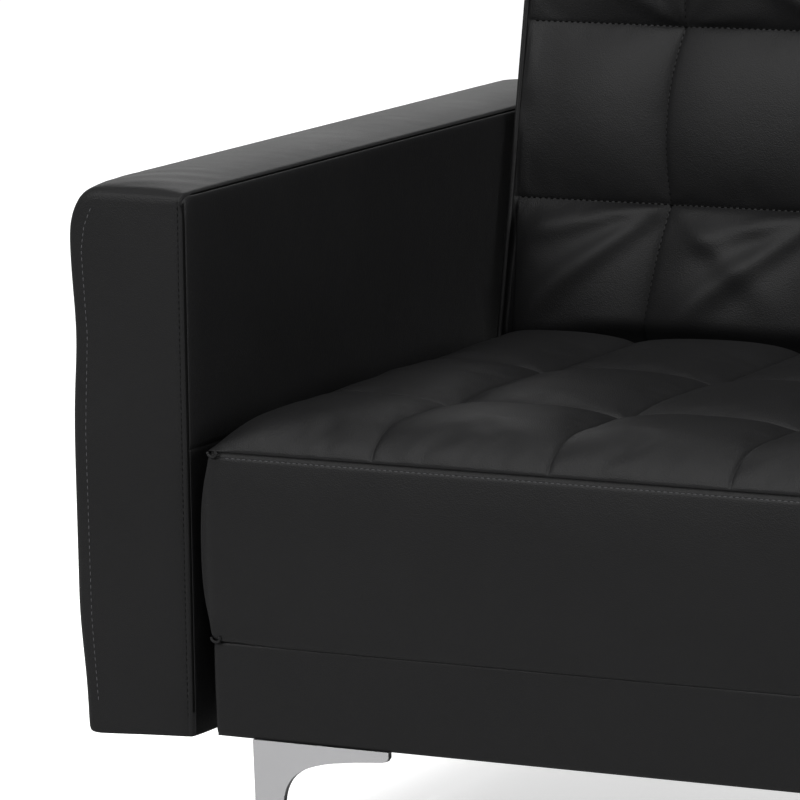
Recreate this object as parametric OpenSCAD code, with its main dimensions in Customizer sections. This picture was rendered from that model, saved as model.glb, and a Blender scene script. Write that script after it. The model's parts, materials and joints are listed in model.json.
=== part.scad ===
// Futon sofa bed: a click-clack sofa with a tufted seat and backrest, slab arms and chromed corner legs.
// The backrest turns on two side hinges from upright to level with the seat.
// X runs from the left arm to the right arm as seen from the front, -Y is the front, Z is up, in millimetres.

/* [Overall] */
// Clear width between the two arms
seat_w = 1620; // [1300:20:2000]
// Height of the base's underside above the floor
leg_h = 150; // [130:5:170]
// Height of the seat surface above the floor
seat_h = 420; // [410:5:440]
// Height of the base rail
base_h = 80; // [70:5:90]
// Front-to-back length of the base frame
base_d = 751; // [720:1:780]

/* [Arms] */
// Thickness of each arm
arm_w = 110; // [100:5:150]
// Height of the arms' top above the floor
arm_top = 600; // [560:5:660]
// Front-to-back length of the arms
arm_d = 784; // [760:4:800]
// Radius of the arm's outer top edge
arm_round = 28; // [10:1:40]
// Thickness of the board on the arm's inner side
arm_board = 16; // [12:1:18]
// Width of the spacer frame inside the arm
arm_core = 45; // [30:1:50]
// Thickness of the hardboard on the arm's outer side
arm_hardboard = 4; // [3:1:6]

/* [Seat] */
// Front-to-back length of the seat cushion
seat_d = 545; // [500:5:550]
// How far the cushion stands in front of the arms
seat_overhang = 10; // [0:1:20]
// Distance from the arms' front to the backrest, at seat height
sit_depth = 556; // [550:1:570]
// Number of zigzag springs under the seat
spring_count = 10; // [6:1:12]
// Number of waves in a zigzag spring
spring_waves = 9; // [6:1:14]

/* [Backrest] */
// Backrest angle behind the vertical when upright
recline = 12.3; // [8:0.1:16]
// Thickness of the backrest, front panel to rear panel
back_t = 140; // [130:5:150]
// Length of the backrest along its slope
back_l = 510; // [460:5:560]
// How far the backrest reaches below its pivot
back_drop = 25; // [20:1:30]

/* [Hardware] */
// Thickness of the cover leather with its backing
skin = 3; // [2:0.5:4]
// Thickness of the hinge plates
plate = 4; // [3:0.5:5]
// Radius of the hinge rivet
rivet_r = 6; // [5:0.5:8]
// Radius of the arm bolts
bolt_r = 4; // [3:0.5:5]
// Thickness of a leg's two blades
blade = 6; // [4:0.5:8]
// Length of a leg's blades under the base
blade_l = 126; // [110:1:140]
// Distance from the arm to the nearest edge of a leg
leg_inset = 59; // [50:1:90]

/* [Hidden] */
$fn = 48;

// Wood and gaps
rail_t = 25;
side_gap = 18;              // from the seat cushion to the arm
base_gap = 22;              // from the base to the arm
hang_gap = 13;              // from the backrest to the arm
cloth = 1.5;
apron_y = 2 - seat_overhang; // front face of the base cover
base_x = seat_w / 2 - base_gap;
back_x = seat_w / 2 - hang_gap;
rail_x = base_x - skin;     // outer face of the side rails
base_top = leg_h + base_h;
rail_z = leg_h + cloth;
rail_h = base_h - cloth - 2;
rear_y = apron_y + base_d;  // rear face of the base cover

// Backrest pivot, in line with the seat surface when the backrest lies flat
pivot_t = back_t / 2;
pivot_z = seat_h - pivot_t;
pivot_y = sit_depth + pivot_t / tan((90 + recline) / 2);
back_top = back_l - back_drop;
mid_y = (pivot_y + back_top * sin(recline) + back_t / 2 * cos(recline) - seat_overhang) / 2;
pocket_top = 45;            // top of the side pocket that clears the hinge
stile_x = seat_w / 2 - 24;  // outer face of the backrest's side stiles
stile_t = 25;

// Spring deck
cross_y = 505;
spring_z = base_top + 2;
spring_wire = 3.5;
foam_z = spring_z + 8;

// Hinge stack, outwards from the stile
ratchet_t = 6;
ratchet_r = 26;
seat_plate_x = back_x;
ratchet_x = stile_x + plate;
fit = 0.05;                 // radial clearance of a turning fit
pawl_pin = [-45, -29];      // from the pivot, in Y and Z
pawl_pin_r = 3;
pawl_t = 4.5;
pawl_pin_end = seat_plate_x + plate + 5.2;

// Arm build-up, outwards from the cushion side
arm_x = seat_w / 2;
pad_in = 10;
board_x = arm_x + skin + pad_in;
core_x = board_x + arm_board;
hard_x = core_x + arm_core;
pad_x = hard_x + arm_hardboard;
pad_top = 37;
pad_front = 22;
pad_rear = 17;
arm_bolt_ys = [110, 330, 545];
arm_bolt_z = leg_h + 40;

// Legs
leg_x = seat_w / 2 - leg_inset; // outer face of a leg
glide = 3;
flange = 3;
leg_screw_at = [[22, 43], [72, 43], [22, 83], [72, 83]]; // from the leg's corner
leg_screw_r = 2.5;

leather = "#232323";
wood = "#c8a878";
foam = "#e6dfb8";
steel = "#8c9096";
chrome = "#d8dadc";
black = "#1c1c1c";

// ---------- helpers ----------
module from_front() {
  translate([0, -mid_y, 0]) children();
}

module both_sides() {
  children();
  mirror([1, 0, 0]) children();
}

// Places a left-hand copy of something drawn on the right
module side(name) {
  if (name == "left") mirror([1, 0, 0]) children();
  else children();
}

module block(x, y, z) {
  translate([x[0], y[0], z[0]]) cube([x[1] - x[0], y[1] - y[0], z[1] - z[0]]);
}

// A flat shape drawn in Y and Z, standing at x
module yz_plate(x, t) {
  translate([x, 0, 0]) rotate([90, 0, 90]) linear_extrude(t) children();
}

module x_rod(x, y, z, r) {
  translate([x[0], y, z]) rotate([0, 90, 0]) cylinder(r = r, h = x[1] - x[0]);
}

// The backrest's own frame: origin on the pivot, Z up along its slope, -Y towards its front
module on_backrest() {
  from_front() translate([0, pivot_y, pivot_z]) rotate([-recline, 0, 0]) children();
}

// ---------- base ----------
module base_front_rail() {
  color(wood) from_front()
    block([-rail_x, rail_x], [apron_y + skin, apron_y + skin + rail_t], [rail_z, rail_z + rail_h]);
}

module base_rear_rail() {
  color(wood) from_front()
    block([-rail_x, rail_x], [rear_y - skin - rail_t, rear_y - skin], [rail_z, rail_z + rail_h]);
}

module base_side_rails() {
  color(wood) from_front() both_sides() difference() {
    block([rail_x - rail_t, rail_x], [apron_y + skin + rail_t, rear_y - skin - rail_t],
          [rail_z, rail_z + rail_h]);
    for (y = arm_bolt_ys) x_rod([rail_x - rail_t - 1, rail_x + 1], y, arm_bolt_z, bolt_r + 0.3);
    seat_screw_bores(rail_x - rail_t - 1, rail_x + 1, 2.6);
  }
}

module base_spring_rail() {
  color(wood) from_front()
    block([-rail_x + rail_t, rail_x - rail_t], [cross_y, cross_y + rail_t], [rail_z + 30, rail_z + rail_h]);
}

module base_centre_beam() {
  color(wood) from_front()
    block([-20, 20], [apron_y + skin + rail_t, rear_y - skin - rail_t], [rail_z, rail_z + 30]);
}

module corner_blocks() {
  color(wood) from_front() both_sides() for (rear = [0, 1]) at_end(rear) difference() {
    block([leg_x - 97, rail_x - rail_t], [apron_y + skin + rail_t, apron_y + 100], [rail_z, rail_z + 45]);
    for (p = leg_screw_at)
      translate([leg_x - p[0], apron_y + p[1], rail_z - 1]) cylinder(r = leg_screw_r + 0.1, h = 27);
  }
}

// Turns what is drawn at the front into its copy at the rear
module at_end(rear) {
  if (rear == 1) translate([0, apron_y + rear_y, 0]) mirror([0, 1, 0]) children();
  else children();
}

module base_cover() {
  color(leather) from_front() difference() {
    block([-base_x, base_x], [apron_y, rear_y], [leg_h, base_top]);
    block([-rail_x, rail_x], [apron_y + skin, rear_y - skin], [leg_h - 1, base_top + 1]);
    both_sides() {
      for (y = arm_bolt_ys) x_rod([rail_x - 1, base_x + 1], y, arm_bolt_z, bolt_r + 0.3);
      seat_screw_bores(rail_x - 1, base_x + 1, 2.6);
    }
  }
}

module dust_cloth() {
  color(black) from_front() difference() {
    block([-rail_x, rail_x], [apron_y + skin, rear_y - skin], [leg_h, leg_h + cloth]);
    both_sides() for (rear = [0, 1]) at_end(rear) for (p = leg_screw_at)
      translate([leg_x - p[0], apron_y + p[1], leg_h - 1]) cylinder(r = leg_screw_r + 0.3, h = cloth + 2);
  }
}

// ---------- seat ----------
// One wave of a spring lies along Y, and the wire is a band of constant width
spring_y = [apron_y + skin + 8, cross_y + 15];
spring_swing = 24;
spring_samples = spring_waves * 8;

function spring_at(i) =
  let (u = i / spring_samples)
  [spring_swing * sin(360 * spring_waves * u), spring_y[0] + u * (spring_y[1] - spring_y[0])];

function spring_normal(i) =
  let (d = spring_at(i + 0.5) - spring_at(i - 0.5))
  [-d[1], d[0]] / norm(d);

module zigzag_spring() {
  left = [for (i = [0:spring_samples]) spring_at(i) + spring_normal(i) * spring_wire / 2];
  right = [for (i = [spring_samples:-1:0]) spring_at(i) - spring_normal(i) * spring_wire / 2];
  linear_extrude(spring_wire) polygon(concat(left, right));
}

function spring_x(i) = (i + 0.5 - spring_count / 2) * (2 * rail_x - 2 * rail_t) / spring_count;

module seat_springs() {
  color(steel) from_front() for (i = [0:spring_count - 1])
    translate([spring_x(i), 0, spring_z - spring_wire]) zigzag_spring();
}

module spring_clips() {
  reach = 1.7; // how far a spring's cut end stands past its last point
  for (i = [0:spring_count - 1]) for (y = [spring_y[0] - reach - 5, spring_y[1] + reach])
    color(steel) from_front()
      block([spring_x(i) - 12, spring_x(i) + 12], [y, y + 5], [rail_z + rail_h, spring_z]);
}

module spring_felt() {
  color("#777777") from_front()
    block([-base_x + 6, base_x - 6], [apron_y + 8, cross_y + rail_t], [spring_z, foam_z]);
}

// Seat outline from the side: the rear face leans with the backrest near the top
module seat_profile(inset, floor_z) {
  front = inset - seat_overhang;
  rear = seat_d - seat_overhang - inset;
  top = seat_h - 8 - inset;
  round_f = 24 - inset;
  union() {
    polygon([[rear, floor_z], [rear, top - 60], [rear + 8, top - 6], [rear + 4, top],
             [front + round_f, top], [front, top - round_f], [front, floor_z]]);
    translate([front + round_f, top - round_f]) circle(r = round_f);
  }
}

module seat_foam() {
  color(foam) from_front()
    yz_plate(-seat_w / 2 + side_gap + skin, seat_w - 2 * side_gap - 2 * skin) seat_profile(skin, foam_z);
}

module seat_cover() {
  color(leather) from_front() difference() {
    yz_plate(-seat_w / 2 + side_gap, seat_w - 2 * side_gap) seat_profile(0, base_top);
    yz_plate(-seat_w / 2 + side_gap + skin, seat_w - 2 * side_gap - 2 * skin) seat_profile(skin, base_top - 1);
  }
}

// ---------- arms ----------
// Arm outline from the front, on the right-hand side
module arm_profile(inset, floor_z) {
  in = arm_x + inset;
  out = arm_x + arm_w - inset;
  top = arm_top - inset;
  r = arm_round - inset;
  union() {
    polygon([[out, floor_z], [out, top - r], [out - r, top], [in, top], [in, floor_z]]);
    translate([out - r, top - r]) circle(r = r);
  }
}

module along_arm(y0, y1) {
  translate([0, y1, 0]) rotate([90, 0, 0]) linear_extrude(y1 - y0) children();
}

module arm_bolt_holes(x0, x1, r) {
  for (y = arm_bolt_ys) x_rod([x0, x1], y, arm_bolt_z, r);
}

module arm_board(name) {
  color(wood) from_front() side(name) difference() {
    block([board_x, core_x], [pad_front + skin, arm_d - pad_rear - skin],
          [leg_h + skin, arm_top - skin - pad_top]);
    arm_bolt_holes(board_x - 1, core_x + 1, bolt_r + 1.5);
  }
}

module arm_spacers(name) {
  y0 = pad_front + skin;
  y1 = arm_d - pad_rear - skin;
  z0 = leg_h + skin;
  z1 = arm_top - skin - pad_top;
  color(wood) from_front() side(name) {
    block([core_x, hard_x], [y0, y1], [z1 - 40, z1]);
    block([core_x, hard_x], [y0, y1], [z0, z0 + 20]);
    block([core_x, hard_x], [y0, y0 + 40], [z0 + 20, z1 - 40]);
    block([core_x, hard_x], [y1 - 40, y1], [z0 + 20, z1 - 40]);
  }
}

module arm_hardboard(name) {
  color("#8a6a44") from_front() side(name)
    block([hard_x, pad_x], [pad_front + skin, arm_d - pad_rear - skin], [leg_h + skin, arm_top - skin - pad_top]);
}

module arm_padding(name) {
  color(foam) from_front() side(name) difference() {
    along_arm(skin, arm_d - skin) arm_profile(skin, leg_h + skin);
    block([board_x, pad_x], [pad_front + skin, arm_d - pad_rear - skin], [leg_h, arm_top - skin - pad_top]);
    arm_bolt_holes(arm_x - 1, board_x + 1, bolt_r + 1.5);
  }
}

module arm_cover(name) {
  color(leather) from_front() side(name) difference() {
    along_arm(0, arm_d) arm_profile(0, leg_h);
    along_arm(skin, arm_d - skin) arm_profile(skin, leg_h + skin);
    block([board_x, pad_x], [pad_front + skin, arm_d - pad_rear - skin], [leg_h - 1, leg_h + skin + 1]);
    arm_bolt_holes(arm_x - 1, arm_x + skin + 1, bolt_r + 1.5);
  }
}

module arm_bolts() {
  head_h = 7;
  in = rail_x - rail_t;
  color(steel) from_front() both_sides() for (y = arm_bolt_ys) difference() {
    union() {
      x_rod([in, core_x + 4], y, arm_bolt_z, bolt_r);
      x_rod([in - head_h, in], y, arm_bolt_z, 8.5);
    }
    translate([in - head_h - 1, y, arm_bolt_z]) rotate([0, 90, 0]) cylinder(r = 3.2, h = 5, $fn = 6);
  }
}

module arm_bushes() {
  color(black) from_front() both_sides() for (y = arm_bolt_ys) difference() {
    x_rod([base_x, arm_x], y, arm_bolt_z, 11);
    x_rod([base_x - 1, arm_x + 1], y, arm_bolt_z, bolt_r + 0.3);
  }
}

module arm_tee_nuts() {
  color(steel) from_front() both_sides() for (y = arm_bolt_ys) difference() {
    x_rod([core_x, core_x + 2], y, arm_bolt_z, 12);
    x_rod([core_x - 1, core_x + 3], y, arm_bolt_z, bolt_r + 0.1);
  }
}

// ---------- legs ----------
// Inner edge of a blade: a smooth curve from the post's inner side to the thin tip
function curve_point(a, b, c, d, t) =
  a * pow(1 - t, 3) + 3 * b * t * pow(1 - t, 2) + 3 * c * t * t * (1 - t) + d * pow(t, 3);

// A blade seen from its flat side, with its corner at the origin and the floor at -leg_h
module blade_profile() {
  foot_w = 20;
  lean = 7;
  curve = [for (i = [0:16])
    curve_point([27.5, -58], [28, -22], [48, -14], [blade_l - 6, -9], i / 16)];
  polygon(concat([[0, 0], [lean, glide - leg_h], [lean + foot_w, glide - leg_h]], curve,
                 [[blade_l - 2, -8], [blade_l, -5], [blade_l, 0]]));
}

module leg(name, rear) {
  color(chrome) from_front() side(name) at_end(rear) difference() {
    translate([leg_x, apron_y, leg_h]) union() {
      translate([0, blade, 0]) rotate([90, 0, 0]) linear_extrude(blade) mirror([1, 0, 0]) blade_profile();
      translate([-blade, 0, 0]) rotate([90, 0, 90]) linear_extrude(blade) blade_profile();
      translate([-94, 0, -flange]) cube([94, 105, flange]);
    }
    for (p = leg_screw_at)
      translate([leg_x - p[0], apron_y + p[1], leg_h - flange - 1]) cylinder(r = leg_screw_r + 0.3, h = flange + 2);
  }
}

module leg_screws() {
  color(steel) from_front() both_sides() for (rear = [0, 1]) at_end(rear) for (p = leg_screw_at)
    translate([leg_x - p[0], apron_y + p[1], leg_h - flange - 2.5]) {
      cylinder(r1 = 4, r2 = 5, h = 2.5);
      cylinder(r = leg_screw_r, h = 2.5 + flange + 22);
    }
}

// An L-shaped pad under each leg's foot
module leg_glides() {
  lean = 7;
  foot_w = 20;
  color(black) from_front() both_sides() for (rear = [0, 1]) at_end(rear)
    translate([leg_x, apron_y, 0]) union() {
      translate([-lean - foot_w, 0, 0]) cube([lean + foot_w, blade, glide]);
      translate([-blade, 0, 0]) cube([blade, lean + foot_w, glide]);
    }
}

// ---------- hinges ----------
seat_screw_at = [[-30, -170], [30, -170], [0, -150]]; // from the pivot, in Y and Z

module seat_screw_bores(x0, x1, r) {
  for (p = seat_screw_at) x_rod([x0, x1], pivot_y + p[0], pivot_z + p[1], r);
}

module hinge_seat_plate(name) {
  color(steel) from_front() side(name) difference() {
    yz_plate(seat_plate_x, plate) translate([pivot_y, pivot_z]) union() {
      polygon([[-45, -190], [45, -190], [45, -138], [22, -5], [-22, -5], [-52, -45], [-45, -138]]);
      circle(r = 22);
      translate(pawl_pin) circle(r = 9);
    }
    x_rod([seat_plate_x - 1, seat_plate_x + plate + 1], pivot_y, pivot_z, rivet_r + fit);
    x_rod([seat_plate_x - 1, seat_plate_x + plate + 1], pivot_y + pawl_pin[0], pivot_z + pawl_pin[1],
          pawl_pin_r + fit);
    seat_screw_bores(seat_plate_x - 1, seat_plate_x + plate + 1, 2.8);
  }
}

// Packing that carries the plates clear of the base
module hinge_spacers() {
  color(black) from_front() both_sides() difference() {
    block([base_x, seat_plate_x], [pivot_y - 43, pivot_y + 43], [pivot_z - 188, pivot_z - 140]);
    seat_screw_bores(base_x - 1, seat_plate_x + 1, 2.8);
  }
}

module hinge_seat_screws() {
  color(steel) from_front() both_sides() for (p = seat_screw_at)
    translate([rail_x - rail_t + 2, pivot_y + p[0], pivot_z + p[1]]) rotate([0, 90, 0]) {
      len = seat_plate_x + plate - rail_x + rail_t - 2;
      cylinder(r = 2.5, h = len);
      translate([0, 0, len]) cylinder(r1 = 5, r2 = 3.5, h = 2.5);
    }
}

module hinge_rivet(name) {
  color(steel) from_front() side(name) {
    x_rod([stile_x + 0.4, seat_plate_x + plate], pivot_y, pivot_z, rivet_r);
    x_rod([seat_plate_x + plate, seat_plate_x + plate + 3], pivot_y, pivot_z, 10);
  }
}

module hinge_washers() {
  color("#d0d0c8") from_front() both_sides() difference() {
    x_rod([seat_plate_x - 0.6, seat_plate_x], pivot_y, pivot_z, 13);
    x_rod([seat_plate_x - 1, seat_plate_x + 1], pivot_y, pivot_z, rivet_r + fit);
  }
}

module at_pawl_pin() {
  translate([0, pivot_y + pawl_pin[0], pivot_z + pawl_pin[1]]) children();
}

module pawl_pins() {
  color(steel) from_front() both_sides() at_pawl_pin() {
    x_rod([ratchet_x + 0.6, pawl_pin_end], 0, 0, pawl_pin_r);
    x_rod([pawl_pin_end, pawl_pin_end + 1], 0, 0, 5.5);
  }
}

// A torsion spring on the pin, outside the plate: close turns and a straight leg
module pawl_springs() {
  coil_r = 4.2;
  wire_r = 0.6;
  color(steel) from_front() both_sides() at_pawl_pin() union() {
    for (i = [0:3]) translate([seat_plate_x + plate + 0.7 + i, 0, 0])
      rotate([0, 90, 0]) rotate_extrude() translate([coil_r, 0]) circle(r = wire_r, $fn = 16);
    translate([seat_plate_x + plate + 0.7, coil_r, 0]) cylinder(r = wire_r, h = 20, $fn = 16);
  }
}

// Pawl, drawn just clear of the ratchet's rim, with its nose under the rivet
module pawl(name) {
  nose = [-3, -ratchet_r - 0.6];
  color("#b8b08c") from_front() side(name) difference() {
    yz_plate(ratchet_x + 1, pawl_t) translate([pivot_y, pivot_z]) union() {
      translate(pawl_pin) circle(r = 7.5);
      polygon([[pawl_pin[0], pawl_pin[1] - 7], nose + [3, -9], nose + [3, -3], nose, nose + [-5, 0],
               nose + [-9, -3.5], [pawl_pin[0] + 5, pawl_pin[1] + 5]]);
    }
    x_rod([ratchet_x, ratchet_x + 8], pivot_y + pawl_pin[0], pivot_z + pawl_pin[1], pawl_pin_r + fit);
  }
}

// ---------- backrest ----------
frame_y = [28, 68]; // front and rear faces of the wood frame
frame_z = [-18, 470];
back_screw_at = [[46, 75], [46, 105], [46, 135]]; // in the backrest's own Y and Z
back_plate_shape = [[16, -8], [62, 40], [62, 150], [30, 150], [30, 44], [-16, 4]];

module back_screw_bores(x0, x1, r) {
  for (p = back_screw_at) x_rod([x0, x1], p[0], p[1], r);
}

module hinge_back_plate(name) {
  color(steel) on_backrest() side(name) difference() {
    yz_plate(stile_x, plate) union() {
      polygon(back_plate_shape);
      circle(r = 20);
    }
    x_rod([stile_x - 1, stile_x + plate + 1], 0, 0, rivet_r + fit);
    back_screw_bores(stile_x - 1, stile_x + plate + 1, 2.8);
  }
}

// Notches for the upright and lounging positions
module ratchet(name) {
  color("#6f7378") on_backrest() side(name) difference() {
    x_rod([ratchet_x, ratchet_x + ratchet_t], 0, 0, ratchet_r);
    x_rod([ratchet_x - 1, ratchet_x + ratchet_t + 1], 0, 0, rivet_r + fit);
    for (turn = [0, 33])
      rotate([turn + recline, 0, 0]) translate([ratchet_x - 1, -10, -ratchet_r - 1]) cube([ratchet_t + 2, 8, 5]);
  }
}

module hinge_back_screws() {
  color(steel) on_backrest() both_sides() for (p = back_screw_at) {
    x_rod([stile_x - 20, stile_x + plate], p[0], p[1], 2.5);
    x_rod([stile_x + plate, stile_x + plate + 2], p[0], p[1], 5);
  }
}

module back_side_stiles() {
  color(wood) on_backrest() both_sides() difference() {
    block([stile_x - stile_t, stile_x], frame_y, [frame_z[0], frame_z[1]]);
    back_screw_bores(stile_x - 21, stile_x + 1, 2.6);
  }
}

module back_mid_stiles() {
  color(wood) on_backrest() both_sides()
    block([240, 265], frame_y, [frame_z[0] + 40, frame_z[1] - 40]);
}

module back_top_rail() {
  color(wood) on_backrest()
    block([-stile_x + stile_t, stile_x - stile_t], frame_y, [frame_z[1] - 40, frame_z[1]]);
}

module back_bottom_rail() {
  color(wood) on_backrest()
    block([-stile_x + stile_t, stile_x - stile_t], frame_y, [frame_z[0], frame_z[0] + 40]);
}

module back_webbing() {
  color("#3a3a3a") on_backrest() for (z = [60, 150, 240, 330, 420])
    block([-stile_x + 4, stile_x - 4], [frame_y[0] - 2, frame_y[0]], [z - 25, z + 25]);
}

// Room for the hinge at each lower end, grown by the thickness of a lining
module hinge_pocket(lining, y1) {
  both_sides() block([stile_x - lining, seat_w], [-back_t, y1], [-back_drop - 50, pocket_top + lining]);
}

module back_foam() {
  color(foam) on_backrest() difference() {
    block([-back_x + 7, back_x - 7], [-pivot_t + skin, frame_y[0] - 2], [-back_drop + skin, back_top - skin]);
    hinge_pocket(skin, back_t);
  }
}

module back_cover() {
  color(leather) on_backrest() difference() {
    block([-back_x, back_x], [-pivot_t, back_t - pivot_t - 2], [-back_drop, back_top]);
    difference() {
      block([-back_x + skin, back_x - skin], [-pivot_t + skin, back_t], [-back_drop + skin, back_top - skin]);
      hinge_pocket(skin, frame_y[0] - 3);
    }
    hinge_pocket(0, back_t);
  }
}

module back_rear_panel() {
  color(leather) on_backrest() difference() {
    block([-back_x, back_x], [back_t - pivot_t - 2, back_t - pivot_t], [-back_drop, back_top]);
    hinge_pocket(0, back_t);
  }
}

base_front_rail();
base_rear_rail();
base_side_rails();
base_spring_rail();
base_centre_beam();
corner_blocks();
base_cover();
dust_cloth();
seat_springs();
spring_clips();
spring_felt();
seat_foam();
seat_cover();
arm_board("left");  // arm_board_left
arm_board("right");  // arm_board_right
arm_spacers("left");  // arm_spacers_left
arm_spacers("right");  // arm_spacers_right
arm_hardboard("left");  // arm_hardboard_left
arm_hardboard("right");  // arm_hardboard_right
arm_padding("left");  // arm_padding_left
arm_padding("right");  // arm_padding_right
arm_cover("left");  // arm_cover_left
arm_cover("right");  // arm_cover_right
arm_bolts();
arm_bushes();
arm_tee_nuts();
leg("left", 0);  // leg_front_left
leg("right", 0);  // leg_front_right
leg("left", 1);  // leg_rear_left
leg("right", 1);  // leg_rear_right
leg_screws();
leg_glides();
hinge_seat_plate("left");  // hinge_seat_plate_left
hinge_seat_plate("right");  // hinge_seat_plate_right
hinge_rivet("left");  // hinge_rivet_left
hinge_rivet("right");  // hinge_rivet_right
hinge_spacers();
hinge_washers();
pawl_pins();
pawl_springs();
hinge_seat_screws();
back_side_stiles();
back_mid_stiles();
back_top_rail();
back_bottom_rail();
back_webbing();
back_foam();
back_cover();
back_rear_panel();
hinge_back_plate("left");  // hinge_back_plate_left
hinge_back_plate("right");  // hinge_back_plate_right
ratchet("left");  // ratchet_left
ratchet("right");  // ratchet_right
hinge_back_screws();
pawl("left");  // pawl_left
pawl("right");  // pawl_right
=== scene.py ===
"""Futon sofa bed: tufted seat and backrest, slab arms, wrapped base, corner legs and hinge hardware.

Sizes are in metres. The seat is built in the object's own frame, the backrest in the frame of its hinge.
"""

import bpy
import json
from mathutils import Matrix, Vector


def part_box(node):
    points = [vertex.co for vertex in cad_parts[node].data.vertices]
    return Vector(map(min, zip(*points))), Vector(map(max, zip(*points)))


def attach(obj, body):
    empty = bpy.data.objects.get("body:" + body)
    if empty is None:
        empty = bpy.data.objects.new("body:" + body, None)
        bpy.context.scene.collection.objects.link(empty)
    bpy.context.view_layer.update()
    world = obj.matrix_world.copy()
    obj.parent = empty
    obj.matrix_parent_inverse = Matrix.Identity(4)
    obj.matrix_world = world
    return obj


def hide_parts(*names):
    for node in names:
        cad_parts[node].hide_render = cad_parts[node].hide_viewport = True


bl_info = {
    "name": "Futon sofa bed",
    "version": (1, 0, 0),
    "blender": (4, 5, 0),
    "location": "3D View > Sidebar > Sofa bed",
    "description": "Builds the upholstery, legs, hardware and studio of a click-clack sofa bed",
    "category": "Object",
}

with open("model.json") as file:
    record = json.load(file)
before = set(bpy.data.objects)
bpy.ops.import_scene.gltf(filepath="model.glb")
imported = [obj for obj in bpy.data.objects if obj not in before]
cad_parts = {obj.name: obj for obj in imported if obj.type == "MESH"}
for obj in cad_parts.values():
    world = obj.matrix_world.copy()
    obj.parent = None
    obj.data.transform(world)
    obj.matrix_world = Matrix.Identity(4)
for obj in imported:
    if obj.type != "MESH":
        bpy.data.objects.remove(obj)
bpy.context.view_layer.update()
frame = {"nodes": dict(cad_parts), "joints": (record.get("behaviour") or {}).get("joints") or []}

import json
import math

import bmesh
import bpy
import numpy as np
from bpy.props import FloatProperty, FloatVectorProperty, IntProperty, PointerProperty
from mathutils import Matrix, Vector
from mathutils.bvhtree import BVHTree

MIRRORED = {"left": -1.0, "right": 1.0}


def joint(name):
    """The record's entry for one joint."""
    return next(entry for entry in frame["joints"] if entry["name"] == name)


PIVOT = Vector(joint("backrest_recline")["pos_m"])
FLAT_ANGLE = math.radians(joint("backrest_recline")["range_deg"][1])
RECLINE = math.pi / 2 - FLAT_ANGLE
SEAT_LOW, SEAT_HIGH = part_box("seat_cover")
BASE_LOW, BASE_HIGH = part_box("base_cover")
ARM_LOW, ARM_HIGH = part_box("arm_cover_right")


# ---------- sizes and colours ----------
class SofaSeatSettings(bpy.types.PropertyGroup):
    seam_height: FloatProperty(
        name="Front seam height", description="Height of the seam along the front of the seat",
        default=0.390, unit="LENGTH")
    roll: FloatProperty(
        name="Edge roll", description="How far in from the edge the top reaches its full height",
        default=0.050, unit="LENGTH")
    rise: FloatProperty(
        name="Rise", description="Height of the tuft nodes above the front seam",
        default=0.0200, unit="LENGTH")
    crown: FloatProperty(
        name="Crown", description="Height of a tuft's middle above its nodes",
        default=0.0110, unit="LENGTH")
    columns: IntProperty(
        name="Columns", description="Number of tufts from arm to arm", default=10, min=4, max=14)
    pitch: FloatProperty(
        name="Tuft pitch", description="Distance from one tuft seam to the next",
        default=0.160, unit="LENGTH")


class SofaBackrestSettings(bpy.types.PropertyGroup):
    node_depth: FloatProperty(
        name="Node depth", description="How far a tuft node is pulled in behind the piping",
        default=0.010, unit="LENGTH")
    bulge: FloatProperty(
        name="Bulge", description="How far the rows stand out from the nodes", default=0.0150, unit="LENGTH")
    piping: FloatProperty(
        name="Piping radius", description="Radius of the piped edge", default=0.0026, unit="LENGTH")


class SofaArmSettings(bpy.types.PropertyGroup):
    outer_round: FloatProperty(
        name="Outer round", description="How far in the outer top edge is rounded",
        default=0.023, unit="LENGTH")
    outer_stretch: FloatProperty(
        name="Outer stretch", description="How much taller than wide the outer top edge's rounding is",
        default=1.8, min=1, max=3)
    waist: FloatProperty(
        name="Waist", description="How far the outer side is drawn in below its full top",
        default=0.0042, unit="LENGTH")
    panel_seam: FloatProperty(
        name="Panel seam height", description="Height of the seam across the arm's inner panel",
        default=0.388, unit="LENGTH")
    inner_round: FloatProperty(
        name="Inner round", description="Radius of the inner top edge", default=0.0040, unit="LENGTH")
    taper: FloatProperty(
        name="Taper", description="How much narrower the arm is at its foot", default=0.0065, unit="LENGTH")
    strip: FloatProperty(
        name="Seam strip", description="Width of the flat seam beside the inner edge",
        default=0.0062, unit="LENGTH")


class SofaFinishSettings(bpy.types.PropertyGroup):
    leather: FloatVectorProperty(
        name="Leather", description="Colour of the leather", subtype="COLOR",
        default=(0.0052, 0.0052, 0.0054))
    leather_roughness: FloatProperty(
        name="Leather roughness", description="Roughness of the leather", default=0.44, min=0, max=1)
    grain: FloatProperty(
        name="Grain size", description="Distance between the pebbles of the grain",
        default=0.0011, unit="LENGTH")
    thread: FloatVectorProperty(
        name="Thread", description="Colour of the topstitching thread", subtype="COLOR",
        default=(0.048, 0.048, 0.050))
    dark_thread: FloatVectorProperty(
        name="Dark thread", description="Colour of the tuft seams' thread", subtype="COLOR",
        default=(0.0015, 0.0015, 0.0015))
    wood: FloatVectorProperty(
        name="Timber", description="Colour of the frame timber", subtype="COLOR", default=(0.58, 0.40, 0.22))
    leg: FloatVectorProperty(
        name="Leg", description="Colour of the plated legs", subtype="COLOR", default=(0.29, 0.29, 0.295))


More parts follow.
